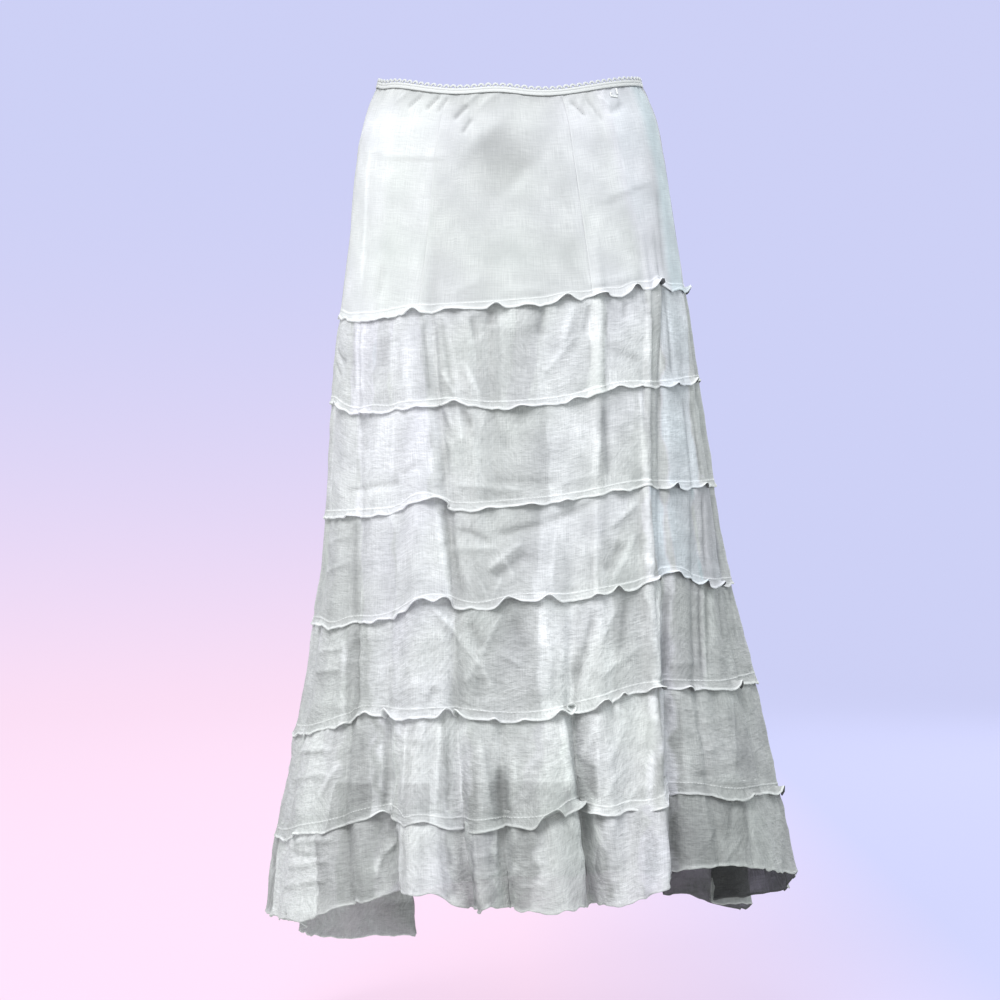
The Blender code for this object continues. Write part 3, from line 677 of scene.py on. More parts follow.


# Patches: upright bands, piece by piece, of painted light and shade: brighter where the cloth lies on what is
# behind it or faces the light, darker where it stands clear of it or turns away. The turns of a band's two
# edges at the head and at the foot of its piece, how bright it is beside the rest, and its cast, a painted
# tint: -1 is grey-green for shade,
# 1 lilac for light and 2.5 pale blue, a painted reflection on the side turned away from the key light.
Patch = namedtuple("Patch", "head_from head_to foot_from foot_to bright cast")
PAINTED_PATCHES = [
    table(
        Patch,
        (-82.6, -51.1, -82.6, -50, 1.13, 0.1), (-51.1, -26.3, -50, -30.3, 1.07, -0.2),
        (-26.3, -3.7, -30.3, -3.8, 0.96, 0), (20.1, 39.9, 24.2, 47.7, 1.12, 0.3),
        (39.9, 63.6, 47.7, 65.2, 1.18, 1.4), (63.6, 81.1, 65.2, 86.4, 1.17, 3),
    ),
    table(
        Patch,
        (-82.6, -65.3, -82.5, -63.3, 1.05, 0), (-64.8, -49.6, -60.5, -47.1, 1.09, 0.9),
        (-49.5, -42.1, -47.5, -41.2, 0.95, 0.6), (-42.1, -30.2, -41.2, -28, 1.07, 0.4),
        (-30.2, -22.1, -28, -19.1, 1.04, -0.2), (-14.4, -4.7, -11, -4.8, 0.86, 0.1),
        (0.6, 9.4, -2, 4.1, 0.91, 0.4), (10.7, 25.5, 5.7, 23, 1.14, 0.1),
        (25.8, 31.3, 23, 27.8, 1.32, -0.2), (31.2, 48.2, 28.4, 47, 1.21, 0.5),
        (58.4, 82.1, 53.6, 70.2, 1.23, 1.8),
    ),
    table(
        Patch,
        (-78.6, -58.4, -77.8, -55, 1.09, 0.2), (-58, -26.9, -54.6, -25.8, 1.16, 0.5),
        (-26.8, -19.9, -24.8, -18.3, 1.13, 0), (-9.3, 9.7, -10.3, 8.3, 0.92, 0),
        (10, 25.5, 8.6, 22.9, 1.17, 0), (26.8, 38.9, 25.1, 34.4, 1.11, 0.2),
        (39.5, 43.7, 36.7, 38.8, 1.02, 0.1), (53, 69.7, 47.5, 64.5, 1.21, 2),
        (41.6, 43.5, 38.3, 40.1, 1.1, 0.3),
    ),
    table(
        Patch,
        (-77.3, -54.4, -68.3, -50.8, 0.93, -0.1), (-54.1, -39.7, -47.6, -36.6, 1.02, 0.6),
        (-39.3, -24.2, -36, -20.7, 1.13, 0.3), (-22.4, 5.4, -19.9, 2.7, 0.95, 0.1),
        (5.7, 22.9, 2.9, 20.3, 1.18, 0.2), (35, 38.6, 20.5, 34.9, 1.05, 0),
        (48.2, 61.8, 44.6, 56.8, 1.06, 2.2), (62.1, 82.8, 57.3, 76.4, 0.92, 1.4),
        (36.3, 37.8, 34, 34.7, 0.85, 0), (38, 39.4, 34.7, 38.4, 1.2, 0.6),
        (39.6, 46.5, 38.9, 43.5, 1.3, 2.2), (23.6, 34.9, 20.2, 21.3, 1.15, 0.2),
    ),
    table(
        Patch,
        (-71.1, -55.2, -67.1, -50.7, 0.98, -0.3), (-54.8, -44.4, -50.6, -39.7, 0.85, -0.3),
        (-37.2, -17.8, -32.9, -18.6, 1.11, 0.3), (-17.5, 4.1, -17.7, 1.7, 0.91, -0.1),
        (4.4, 15.3, 2.1, 10.6, 1.32, 0), (15.3, 24.7, 11.8, 20.3, 1.2, 0.1),
        (34.4, 42.2, 30.9, 32.8, 1.64, 0.1), (42, 56.1, 34.6, 48.5, 0.81, 0.4),
        (56.1, 82.2, 48.9, 78.3, 0.9, -0.3), (-42.1, -37.6, -38.7, -33.3, 1.08, 0),
        (27, 34.2, 20.8, 29.7, 0.93, 0), (42.2, 44.5, 34.4, 38.5, 1.25, 0.7),
    ),
    table(
        Patch,
        (-74.6, -57.7, -64.9, -50.9, 1.06, -0.3), (-51.3, -39.2, -47, -36.1, 0.88, -0.4),
        (-39, -37.4, -35.7, -34.8, 0.79, -0.5), (-32.3, -19.6, -29.3, -18, 1.16, 0.2),
        (-13.4, 3, -12.9, -4.3, 0.99, -0.5), (2.8, 7.2, 1.6, 7.3, 1.16, -0.4),
        (7.2, 10.8, 7.5, 14.2, 1.32, -0.4), (15.1, 30, 14.3, 25.6, 1.21, 0.1),
        (30.1, 32.4, 25.7, 26.5, 1.24, 0.5), (35.2, 79.3, 27.9, 78.4, 0.92, -0.2),
        (-37.4, -32.7, -34.8, -29.7, 1.2, -0.3), (-19.4, -13.4, -17.8, -12.9, 1.25, 0.1),
        (33.5, 38.2, 27, 34.8, 1.5, 0.9),
    ),
    table(
        Patch,
        (-82.7, -55.6, -76.7, -50.6, 2.05, -0.3), (-47.3, -35.3, -44.6, -33.9, 0.88, -0.6),
        (-28.9, -18, -31.5, -16.9, 1.39, 0.3), (-17.7, -11.6, -16.6, -13.1, 1.45, -0.4),
        (-8.3, -3.4, -8.1, -3.7, 1.23, -0.5), (1, 9.9, -0.1, 9.7, 1.22, -0.3),
        (10.1, 14.6, 10.6, 14.9, 3.16, -0.6), (16.4, 27.5, 15.3, 23.4, 1.46, 0.3),
        (28.2, 55.9, 23.3, 50, 0.83, -0.4), (56.5, 78.9, 50.6, 74.1, 1.12, -0.4),
        (-35.3, -29.4, -33.6, -31.6, 1.2, -0.3), (-3.2, 0.9, -3.5, -0.3, 0.84, -0.4),
        (25.8, 35.4, 20.8, 32.2, 1.33, 0.7),
    ),
]
PATCH_EDGES = (26, 3, 3, 3, 5, 4, 4)  # how soft a patch's edges are in each piece, in mm
PATCH_WANDER = 1.1  # how far they wander, in degrees


def painted_patches(turn, level, number):
    """How much the patches' painted light and shade brighten or darken each point, and their painted cast."""
    bright, cast = np.ones(level.shape), np.zeros(level.shape)
    share = level - number
    local = wrapped(turn)
    softness = np.degrees(PATCH_EDGES[number] * MM / half_breadth(level))
    for row, patch in enumerate(PAINTED_PATCHES[number]):
        wander = PATCH_WANDER * line_noise(share * 6 + row * 1.7, 60 + number)
        first = patch.head_from + (patch.foot_from - patch.head_from) * share + wander
        last = patch.head_to + (patch.foot_to - patch.head_to) * share + wander
        inside = ease((local - first) / softness + 0.5) * ease((last - local) / softness + 0.5)
        bright *= 1 + (patch.bright - 1) * inside
        cast += patch.cast * inside
    return bright, cast


def ruffle_angle(turn, number, wide):
    """How far a ruffle swings out at each turn, in radians from hanging."""
    ruffle = RUFFLES[number]
    chance = np.random.default_rng(ruffle.seed)
    swing = np.radians(ruffle.open) * (1 + 0.9 * line_noise(turn / 5.5, ruffle.seed))
    arches = list(ARCHES[number - 1])
    turn_step = math.degrees(ARCH_EVERY / wide)
    at = ARCH_FREE[1] + turn_step / 2
    while at < ARCH_FREE[0] + 360:
        arches.append(Arch(at, chance.uniform(5, 11), chance.uniform(0.3, 1.1)))
        at += turn_step * chance.uniform(0.5, 1.6)
    for arch in arches:
        off = np.radians(wrapped(turn - arch.turn)) * wide / (arch.half_width * MM)
        swing = swing + FLIP * arch.flip * hump(off)
    return np.clip(swing, *SWINGS)


# ---------------------------------------------------------------- meshes


def new_piece(name, mesh, material):
    mesh.materials.clear()
    mesh.materials.append(material)
    piece = bpy.data.objects.new(name, mesh)
    bpy.context.scene.collection.objects.link(piece)
    return piece


def shell(name, middle, half_out, half_in, ring, material, values):
    """A closed shell round a grid of points: rows go down and columns go towards +X round the front.
    values are named numbers kept at each point, and the UV map is in metres of cloth."""
    rows, columns = middle.shape[:2]
    if ring:
        across = np.roll(middle, -1, 1) - np.roll(middle, 1, 1)
    else:
        across = np.gradient(middle, axis=1)
    normals = unit(np.cross(across, -np.gradient(middle, axis=0)))
    points = np.concatenate([
        (middle + normals * np.broadcast_to(half_out, (rows, columns))[..., None]).reshape(-1, 3),
        (middle - normals * np.broadcast_to(half_in, (rows, columns))[..., None]).reshape(-1, 3),
    ])
    outer = np.arange(rows * columns).reshape(rows, columns)
    inner = outer + rows * columns
    if ring:
        close = lambda grid: np.concatenate([grid, grid[:, :1]], axis=1)
        outer, inner = close(outer), close(inner)
    gaps = np.linalg.norm(np.roll(middle, -1, 1) - middle, axis=-1).mean(axis=0)
    u = np.broadcast_to(running(gaps)[: outer.shape[1]], outer.shape)
    fall = np.linalg.norm(np.diff(middle, axis=0), axis=-1)
    v = -np.concatenate([np.zeros((1, columns)), np.cumsum(fall, axis=0)])
    v = np.concatenate([v, v[:, :1]], axis=1) if ring else v

    def quads(grid, flip=False):
        a, b, c, d = grid[:-1, :-1], grid[1:, :-1], grid[1:, 1:], grid[:-1, 1:]
        order = (d, c, b, a) if flip else (a, b, c, d)
        return np.stack(order, -1).reshape(-1, 4)

    faces, us, vs = ([quads(near), quads(far, True)] for near, far in ((outer, inner), (u, u), (v, v)))

    def rim(near, far, near_u, near_v):
        """Closes the wall between one line of the outer face and the same line of the inner face."""
        faces.append(quads(np.stack([far, near])))
        us.append(quads(np.stack([near_u, near_u])))
        vs.append(quads(np.stack([near_v, near_v])))

    rim(outer[0], inner[0], u[0], v[0])
    rim(inner[-1], outer[-1], u[-1], v[-1])
    if not ring:
        rim(inner[:, 0], outer[:, 0], u[:, 0], v[:, 0])
        rim(outer[:, -1], inner[:, -1], u[:, -1], v[:, -1])
    faces, us, vs = np.concatenate(faces), np.concatenate(us), np.concatenate(vs)
    mesh = bpy.data.meshes.new(name)
    mesh.vertices.add(len(points))
    mesh.vertices.foreach_set("co", points.astype(np.float32).ravel())
    mesh.loops.add(faces.size)
    mesh.loops.foreach_set("vertex_index", faces.astype(np.int32).ravel())
    mesh.polygons.add(len(faces))
    mesh.polygons.foreach_set("loop_start", np.arange(0, faces.size, 4, dtype=np.int32))
    mesh.update(calc_edges=True)
    mesh.shade_smooth()
    uv = mesh.uv_layers.new(name="cloth")
    uv.data.foreach_set("uv", np.stack([us.ravel(), vs.ravel()], -1).astype(np.float32).ravel())
    # painted shade on the inner face, lighter towards -X and much darker towards +X, away from the key light
    leftward = -middle[..., 0] / np.hypot(middle[..., 0], middle[..., 1])
    inside_shade = INSIDE_SHADE + INSIDE_LIT_LEFT * leftward
    for key, value in values.items():
        grid = np.broadcast_to(value, (rows, columns)).ravel()
        inside = grid * inside_shade.ravel() if key == "tone" else grid
        layer = mesh.attributes.new(key, "FLOAT", "POINT")
        layer.data.foreach_set("value", np.concatenate([grid, inside]).astype(np.float32))
    mesh.validate()
    return new_piece(name, mesh, material)


# Tone: how bright the cloth is at each level, painted shade from what shows through it: the lining high up,
# the shaded hollow inside lower down, so it darkens down the tiers; it is painted darker along the top of the
# yoke too.
TONE_LEVELS = (0, 0.04, 0.15, 1, 2, 3, 4, 5, 6, 7)
TONES = (0.6, 0.65, 0.805, 0.81, 0.8, 0.785, 0.76, 0.75, 0.726, 0.712)
SHADED = (0.7, 1.15)  # the darkest and the brightest that the painted shade and highlight of the relief may make it
UNLINED_SHADE = 0.81  # painted shade below the lining's hem, where the shaded hollow inside shows through
INSIDE_SHADE = 0.8  # painted shade on the face that lies towards the body
INSIDE_LIT_LEFT = 0.65  # painted light: how much brighter that face is towards -X, the side the key light comes from
EDGE_TONE = 0.9  # of a ruffle's rolled edge
BRIGHTEST = 1.05  # that any cloth is


def shares_down(number, drop, rows):
    """How far down its piece each row of points lies, as a share of the drop from seam to seam."""
    head = np.array([-1.0, -0.4]) * ALLOWANCE if number else np.array(WAIST_ROWS) * MM
    head = head[:, None] / drop
    first = 0 if number else head[-1] + 0.008
    near = np.array(SEAM_ROWS)[:, None] * MM / drop
    return np.concatenate([head, first + rows[:, None] * (1 - near[0] - first), 1 - near, 0 * near[:1] + 1])


def ruffle_edge(foot, turn, seam, normals):
    """The ruffle below a seam: its rows of points, how far down the cloth each lies, and its depth."""
    ruffle = RUFFLES[foot]
    uneven = ruffle.uneven * line_noise(turn / 4.3, ruffle.seed + 5)
    nicks = 0.8 * line_noise(turn / 1.7, ruffle.seed + 7)
    depth = (ruffle.depth + uneven + nicks) * MM
    near, straight = SEAM_ROWS[0] * MM, depth - BEAD_ROWS[0] * BEAD_HALF_WIDTH
    lengths = [gap * MM + 0 * depth for gap in reversed(SEAM_ROWS)]
    lengths += [near + (straight - near) * share for share in (0.35, 0.8)]
    lengths = np.array(lengths + [depth - gap * BEAD_HALF_WIDTH for gap in BEAD_ROWS])
    steps = np.diff(lengths, axis=0, prepend=0)
    angle = ruffle_angle(turn, foot, half_breadth(float(foot))) * ease(lengths / (0.75 * depth) + 0.12)
    below = unit(skirt_points(turn, foot + 0.06) - skirt_points(turn, foot - 0.02))
    reach_out = np.cumsum(steps * np.sin(angle), axis=0) + RUFFLE_CLEAR * ease(lengths / (4 * MM))
    reach_out += RUFFLE_WAVE * (1 + line_noise(turn / 2.1, ruffle.seed + 9)) * ease(lengths / depth)
    reach_down = np.cumsum(steps * np.cos(angle), axis=0)
    points = seam + square_to(below, normals) * reach_out[..., None] + below * reach_down[..., None]
    return points, lengths, depth


def shown_lining(turns, number, heights):
    """How far each point lies above the hem of the lining that shows there, in metres."""
    lined = heights - bowed_line(turns, LINING_HEM) * MM
    if number == HEM_LEVEL - 2:
        shows = np.zeros(turns.shape)
        for first, last in LINING_SHOWS:
            shows += ease((wrapped(turns) - first) / 1.5) * ease((last - wrapped(turns)) / 1.5)
        lined = lined + (1 - np.minimum(shows, 1)) * 0.1
    return lined


def hanging_cloth(turns_of, number, rows, run=None, around=None, tuck=0.0):
    """The middle surface of the yoke or a tier, from behind its own head seam down past the next
    seam and along the ruffle to its rolled edge: its points, half thicknesses and named values, and
    the line of its foot seam with that line's normals. rows are shares of its height, run is how far
    round each column lies, and tuck is how far each one lies inwards."""
    foot = number + 1
    hem = foot == HEM_LEVEL
    foot_turn = turns_of(np.full(1, float(foot)))[0]
    drop = seam_height(foot_turn, number) - seam_height(foot_turn, foot)
    shares = shares_down(number, drop, rows)
    levels = number + np.minimum(shares, 1)
    turns = turns_of(levels)
    points, normals = skirt_points(turns, levels), outward_normals(turns, levels)
    heights = points[..., 2]
    down = np.maximum(shares, 0) * drop
    above_foot = (1 - shares) * drop
    inside = 1.0 if hem else 0.3 + 0.7 * ease(above_foot / (10 * MM))
    creases, folded, shade = crease_relief(turns, levels, heights)
    headed = ease(down / (7 * MM))
    relief = RELIEFS[number] * crumpled(turns, levels, heights, 1000 * number) * inside * (0.2 + 0.8 * headed)
    if number:
        relief += gathers(number, np.broadcast_to(run, levels.shape), around, down) * inside
        wander = 0.6 * line_noise(levels * 3, 7 * number)
        band = cloth_noise(run / (32 * MM) + wander, levels * 0.6, number)
        behind = 0.25 + 0.75 * ease((np.abs(wrapped(turns)) - 70) / 15)
        shade += BAND_SHADE * behind * (ease(band / 0.16 + 0.5) - 0.5)
    else:
        creasing = cloth_noise(turns / 2.2 + down / (8 * MM), down / (24 * MM), 33)
        relief += WAIST_PUCKER * creasing * hump(down / (16 * MM)) * ease(down / (4 * MM))
    # painted shade in the relief's hollows and the folds' valleys, painted highlight on their tops and ridges
    shade += CRUMPLE_SHADE * np.clip(relief / MM, -3, 3)
    shade += FOLD_SHADE * np.clip(fold_shift(turns, levels, half_breadth(levels))[0] / MM, -36, 16)
    relief += creases * inside * headed
    if not number:
        relief -= WAIST_DIP * hump(down / (1.7 * MM))
    if hem:

        def waved(wave):
            height = wave.height * line_noise(run / (wave.length * MM), wave.seed) * MM
            return height * hump(above_foot / (wave.reach * MM))

        for frill in FRILLS:
            relief += waved(frill)
        points[..., 2] += waved(HEM_WAVE)
    else:
        wave = cloth_noise(turns / 1.9, levels * 0 + number, 70 + number)
        relief += 0.5 * MM * wave * hump(above_foot / (9 * MM))
    middle = points + normals * (LAP * np.clip(shares, 0, 1) + relief - tuck)[..., None]
    half_out = half_in = np.full(levels.shape, CLOTH / 2)
    cover = folded + 0.35 * (shares < 0) * (number > 0)
    bright, cast = painted_patches(turns, levels, number)
    # painted light and shade: the tone by level, the patches' painted light and the relief's painted shade
    # all multiply here
    tone = np.interp(levels, TONE_LEVELS, TONES) * bright * np.clip(1 + shade, *SHADED)
    tone = np.minimum(tone, BRIGHTEST)
    lined = shown_lining(turns, number, heights)
    seam_line, seam_normals = middle[-1], normals[-1]
    edge_gap = above_foot
    if not hem:
        flange, lengths, depth = ruffle_edge(foot, foot_turn, seam_line, seam_normals)
        middle = np.concatenate([middle, flange])
        edge_gap = np.concatenate([above_foot + depth, depth - lengths])
        fall = np.concatenate([above_foot, -lengths])
        half_out = CLOTH / 2 + RIDGE * hump(fall / RIDGE_HALF_WIDTH)
        half_in = np.full(half_out.shape, CLOTH / 2)
        cover = cover + 0.9 * hump(above_foot / (1.3 * MM)) + 0.25 * hump(above_foot / (5 * MM))
        cover = np.concatenate([cover, 0.95 * hump(lengths / (1.3 * MM)) + 0.15 + 0 * lengths])
        tone, lined, cast = (
            np.concatenate([values, values[-1] + 0 * lengths]) for values in (tone, lined, cast)
        )
    tone = tone + (EDGE_TONE - tone) * hump(edge_gap / (2.4 * BEAD_HALF_WIDTH))
    from_middle = edge_gap / BEAD_HALF_WIDTH - 1
    rounded = BEAD_HALF_THICK * np.sqrt(np.clip(1 - from_middle**2, 0.004, None))
    rolled = np.where(from_middle > 0, np.maximum(rounded, CLOTH / 2), rounded)
    half_out, half_in = (np.where(from_middle < 1, rolled, half) for half in (half_out, half_in))
    cover = np.clip(cover + 0.95 * hump(edge_gap / (2.2 * BEAD_HALF_WIDTH)), 0, 1)
    values = {"cover": cover, "tone": tone, "lined": lined, "cast": cast}
    return middle, half_out, half_in, values, seam_line, seam_normals


yoke_seam = []  # the foot seam of each gore: its points and their normals
seam_lines = []  # the same for each tier


def make_tier(number, material):
    places, run, around = even_places(number + 0.6, COLUMN_STEP)
    turns_of = lambda levels: fold_turn(places, np.asarray(levels, float).reshape(len(levels), -1))
    *grid, line, normals = hanging_cloth(turns_of, number, TIER_ROWS, run, around)
    if number + 1 < HEM_LEVEL:
        seam_lines.append((line, normals))
    return shell(f"tier_{number}_gauze", *grid[:3], True, material, grid[3])


def make_gore(gore, following, material):
    """A gore of the yoke, turned under the next one where they meet."""
    end_waist, end_foot = following.at_waist, following.at_foot
    if end_waist < gore.at_waist:
        end_waist, end_foot = end_waist + 360, end_foot + 360
    foot_line = skirt_points(np.linspace(gore.at_foot, end_foot, 200), 1.0)
    wide = paces(foot_line).sum()
    step = COLUMN_STEP * (BACK_STEP if "back" in gore.name else 1)
    share = np.linspace(0, 1, int(wide / step))
    past = np.array(TURNED_UNDER) * MM / wide
    share = np.concatenate([[0, past[0] * 0.6], share[1:], 1 + past])
    tuck = 0.8 * MM * ease((share - 1) / past[0]) - 0.35 * MM * hump(share / past[0] / 1.5)

    def turns_of(levels):
        levels = np.clip(np.asarray(levels, float).reshape(len(levels), -1), 0, 1)
        first = gore.at_waist + (gore.at_foot - gore.at_waist) * levels
        last = end_waist + (end_foot - end_waist) * levels
        return first + (last - first) * share

    middle, half_out, half_in, values, line, normals = hanging_cloth(turns_of, 0, YOKE_ROWS, tuck=tuck)
    over = share * wide
    seam_cover = 0.5 * hump(over / (1.2 * MM)) + 0.3 * hump(np.maximum(over - 6 * MM, 0) / MM)
    values["cover"] = np.clip(values["cover"] + seam_cover, 0, 1)
    yoke_seam.append((line[: -len(past)], normals[: -len(past)]))
    return shell(f"{gore.name}_gauze", middle, half_out, half_in, False, material, values)


def make_lining(material):
    turn = np.linspace(0, 360, 140, endpoint=False)
    levels = np.concatenate([np.linspace(0, 5.6, 22), [5.61, 5.62, LINING_FOOT]])
    turns, levels = np.meshgrid(turn, levels)
    points = skirt_points(turns, levels, folded=False)
    hem = bowed_line(turn, LINING_HEM) * MM
    points[-3:, :, 2] = hem + np.array([9, 8, 0])[:, None] * MM
    normals = outward_normals(turns, levels, folded=False)
    inset = read(LINING, "inset", levels)
    middle = points - normals * (inset + 0.5 * MM)[..., None]
    thick = np.full(levels.shape, 0.3 * MM)
    thick[-2:] = 0.7 * MM
    cover = np.where(thick > 0.5 * MM, 0.6, 0.0)
    values = {"cover": cover, "tone": 1.0, "lined": 1.0, "cast": 0.0}
    return shell("lining_lawn", middle, thick, thick, True, material, values)


# Waistband: heights above the waist seam, and the elastic's half thickness there, in mm.
Rib = namedtuple("Rib", "height thick")
RIBS = table(
    Rib,
    (5.7, 0.1), (5.5, 0.5), (4.9, 0.8), (3.7, 0.9), (3.0, 0.85), (2.6, 0.4), (2.2, 0.85), (1.2, 0.95),
    (0.2, 1.0), (-0.6, 1.0), (-0.9, 0.8), (-1.0, 0.1),
)
BAND_OUT = 1.1 * MM  # how far the band's middle lies out from the yoke's
BAND_LEANS = 0.2  # how far it leans in, per unit of its height
BAND_COLUMNS = 420
PICOTS = 100


def band_line(count):
    """Evenly spaced points along the waist seam, with level outward normals."""
    turn = np.linspace(0, 360, 3601)
    line = skirt_points(turn, 0 * turn)
    run = running(paces(line))
    turn = np.interp(np.linspace(0, run[-1], count, endpoint=False), run, turn)
    normals = outward_normals(turn, 0 * turn) * (1, 1, 0)
    return skirt_points(turn, 0 * turn), unit(normals)


def make_waistband(material):
    line, normals = band_line(BAND_COLUMNS)
    heights = np.array([rib.height for rib in RIBS])[:, None, None] * MM
    middle = line + normals * (BAND_OUT - BAND_LEANS * heights) + heights * np.array([0, 0, 1])
    thick = np.array([rib.thick for rib in RIBS])[:, None] * MM * np.ones(len(line))
    return shell("waistband_elastic", middle, thick, thick, True, material, {"cover": 1.0, "tone": 1.0})


def plain_mesh(name, rings, faces=()):
    """A smooth mesh of rings of points, joined to each other, and any faces more."""
    count = len(rings[0])
    faces = [
        (row * count + k, row * count + after, (row + 1) * count + after, (row + 1) * count + k)
        for row in range(len(rings) - 1)
        for k, after in zip(range(count), [*range(1, count), 0])
    ] + list(faces)
    mesh = bpy.data.meshes.new(name)
    mesh.from_pydata([tuple(point) for ring in rings for point in ring], [], faces)
    mesh.shade_smooth()
    return mesh


TUBE_SIDES = 7


def tube(path, sides, sizes):
    """A closed tube along a path; sides are the two directions across it, and sizes its half widths."""
    circle = np.linspace(0, 2 * math.pi, TUBE_SIDES, endpoint=False)[:, None]
    rings = [
        point + a * sizes[0] * np.cos(circle) + b * sizes[1] * np.sin(circle)
        for point, (a, b) in zip(path, sides)
    ]
    count, end = len(circle), len(circle) * len(rings)
    return plain_mesh("tube", rings, [tuple(reversed(range(count))), tuple(range(end - count, end))])


def picot_mesh():
    """One loop of the elastic's edge, from foot to foot: x runs along the band and z is up."""
    angle = np.linspace(-0.25, math.pi + 0.25, 11)
    inwards = np.stack([-np.cos(angle), 0 * angle, np.sin(angle)], -1)
    path = inwards * (2.6 * MM, 0, 2.5 * MM) + (0, 0, 0.9 * MM)
    sides = [(arm, np.array([0, 1, 0])) for arm in inwards]
    return tube(path, sides, (1.45 * MM, 0.75 * MM))


def stitch_mesh():
    """One stitch: a short, fat bit of thread along x, that stands up along z."""
    ball = bmesh.new()
    shape = Matrix.Diagonal((1.45 * MM, 0.42 * MM, 0.36 * MM, 1))
    bmesh.ops.create_icosphere(ball, subdivisions=1, radius=1, matrix=shape)
    mesh = bpy.data.meshes.new("stitch")
    ball.to_mesh(mesh)
    ball.free()
    mesh.shade_smooth()
    return mesh


# ---------------------------------------------------------------- nodes


def wire(tree, kind, sockets=None, **settings):
    """A new node with its settings, and its inputs set to values or joined to other nodes' outputs."""
    node = tree.nodes.new(kind)
    for key, value in settings.items():
        setattr(node, key, value)
    for key, value in (sockets or {}).items():
        if isinstance(value, bpy.types.NodeSocket):
            tree.links.new(value, node.inputs[key])
        else:
            node.inputs[key].default_value = value
    return node


def scatter_tree():
    """Geometry nodes that put a copy of one thing at every point, turned by the point's own angles."""
    tree = bpy.data.node_groups.new("scatter", "GeometryNodeTree")
    inputs = {
        "Points": "Geometry", "Thing": "Object", "Finish": "Material", "Unevenness": "Float", "Seed": "Int"
    }
    for name, kind in inputs.items():
        tree.interface.new_socket(name, in_out="INPUT", socket_type=f"NodeSocket{kind}")
    tree.interface.new_socket("Copies", in_out="OUTPUT", socket_type="NodeSocketGeometry")
    given = wire(tree, "NodeGroupInput").outputs
    thing = wire(tree, "GeometryNodeObjectInfo", {"Object": given["Thing"]})
    angles = wire(tree, "GeometryNodeInputNamedAttribute", {"Name": "angles"}, data_type="FLOAT_VECTOR")
    turned = wire(tree, "FunctionNodeEulerToRotation", {"Euler": angles.outputs["Attribute"]})
    least = wire(tree, "ShaderNodeMath", {0: 1.0, 1: given["Unevenness"]}, operation="SUBTRACT").outputs[0]
    size = wire(tree, "FunctionNodeRandomValue", {2: least, 3: 1.0, "Seed": given["Seed"]}, data_type="FLOAT")
    placed = {"Points": given["Points"], "Instance": thing.outputs["Geometry"]}
    placed |= {"Rotation": turned.outputs[0], "Scale": size.outputs[1]}
    copies = wire(tree, "GeometryNodeInstanceOnPoints", placed)
    realized = wire(tree, "GeometryNodeRealizeInstances", {"Geometry": copies.outputs[0]}).outputs[0]
    finished = wire(tree, "GeometryNodeSetMaterial", {"Geometry": realized, "Material": given["Finish"]})
    wire(tree, "NodeGroupOutput", {"Copies": finished.outputs[0]})
    return tree


def scattered(name, points, along, up, mesh, material, unevenness, seed):
    """A piece made of copies of a mesh, its x along one direction and its z up another."""
    tree = bpy.data.node_groups.get("scatter") or scatter_tree()
    x = unit(along)
    y = unit(np.cross(up, x))
    z = np.cross(x, y)
    turns = [Matrix((a, b, c)).transposed().to_euler() for a, b, c in zip(x, y, z)]
    holder_mesh = bpy.data.meshes.new(name + "_points")
    holder_mesh.from_pydata(points.tolist(), [], [])
    layer = holder_mesh.attributes.new("angles", "FLOAT_VECTOR", "POINT")
    layer.data.foreach_set("vector", np.array(turns, np.float32).ravel())
    holder = bpy.data.objects.new(name + "_points", holder_mesh)
    thing = bpy.data.objects.new(name + "_thing", mesh)
    for helper in (holder, thing):
        bpy.context.scene.collection.objects.link(helper)
    modifier = holder.modifiers.new("scatter", "NODES")
    modifier.node_group = tree
    given = {"Thing": thing, "Finish": material, "Unevenness": unevenness, "Seed": seed}
    for item in tree.interface.items_tree:
        if item.name in given:
            modifier[item.identifier] = given[item.name]
    ready = holder.evaluated_get(bpy.context.evaluated_depsgraph_get())
    copies = bpy.data.meshes.new_from_object(ready)
    copies.name = name
    holder.modifiers.remove(modifier)
    for helper in (holder, thing):
        bpy.data.objects.remove(helper)
    return new_piece(name, copies, material)


def make_picots(material):
    line, normals = band_line(PICOTS)
    up = np.array([0.0, 0.0, 1.0])
    top = RIBS[1].height * MM
    points = line + normals * (BAND_OUT - BAND_LEANS * top) + up * top
    along = np.roll(line, -1, 0) - np.roll(line, 1, 0)
    up = square_to(unit(along), up - BAND_LEANS * normals)
    return scattered("picot_edge", points, along, up, picot_mesh(), material, 0.12, 4)


STITCH_EVERY = 4.0 * MM
STITCH_SINKS = 0.75  # how far up the seam's ridge its stitches lie


def stitch_places(line, normals, closed):
    """Points at even distances along a seam line, with the directions along it and out of it."""
    if closed:
        line, normals = np.concatenate([line, line[:1]]), np.concatenate([normals, normals[:1]])
    run = running(paces(line))
    at = np.arange(STITCH_EVERY / 2, run[-1], STITCH_EVERY)
    at_run = lambda values, where: np.stack([np.interp(where, run, values[:, k]) for k in range(3)], -1)
    along = at_run(line, at + 0.5 * MM) - at_run(line, at - 0.5 * MM)
    out = unit(at_run(normals, at))
    return at_run(line, at) + out * (CLOTH / 2 + STITCH_SINKS * RIDGE), along, out


# Tacks: short hand stitches in the yoke: turn and level of the middle, its length in mm, its lean from
# level in degrees, and how many threads lie side by side.
Tack = namedtuple("Tack", "turn level length lean threads")
TACKS = table(
    Tack,
    (47.5, 0.052, 7.5, -3, 4), (50.5, 0.028, 6.0, 84, 3), (46.2, 0.036, 3.0, 60, 2),
)
TACK_OUT = 0.9  # mm that they stand out from the yoke
TACK_THREAD = 0.62  # mm from one thread to the next
TACK_STEP = 1.5  # mm from stitch to stitch along a thread


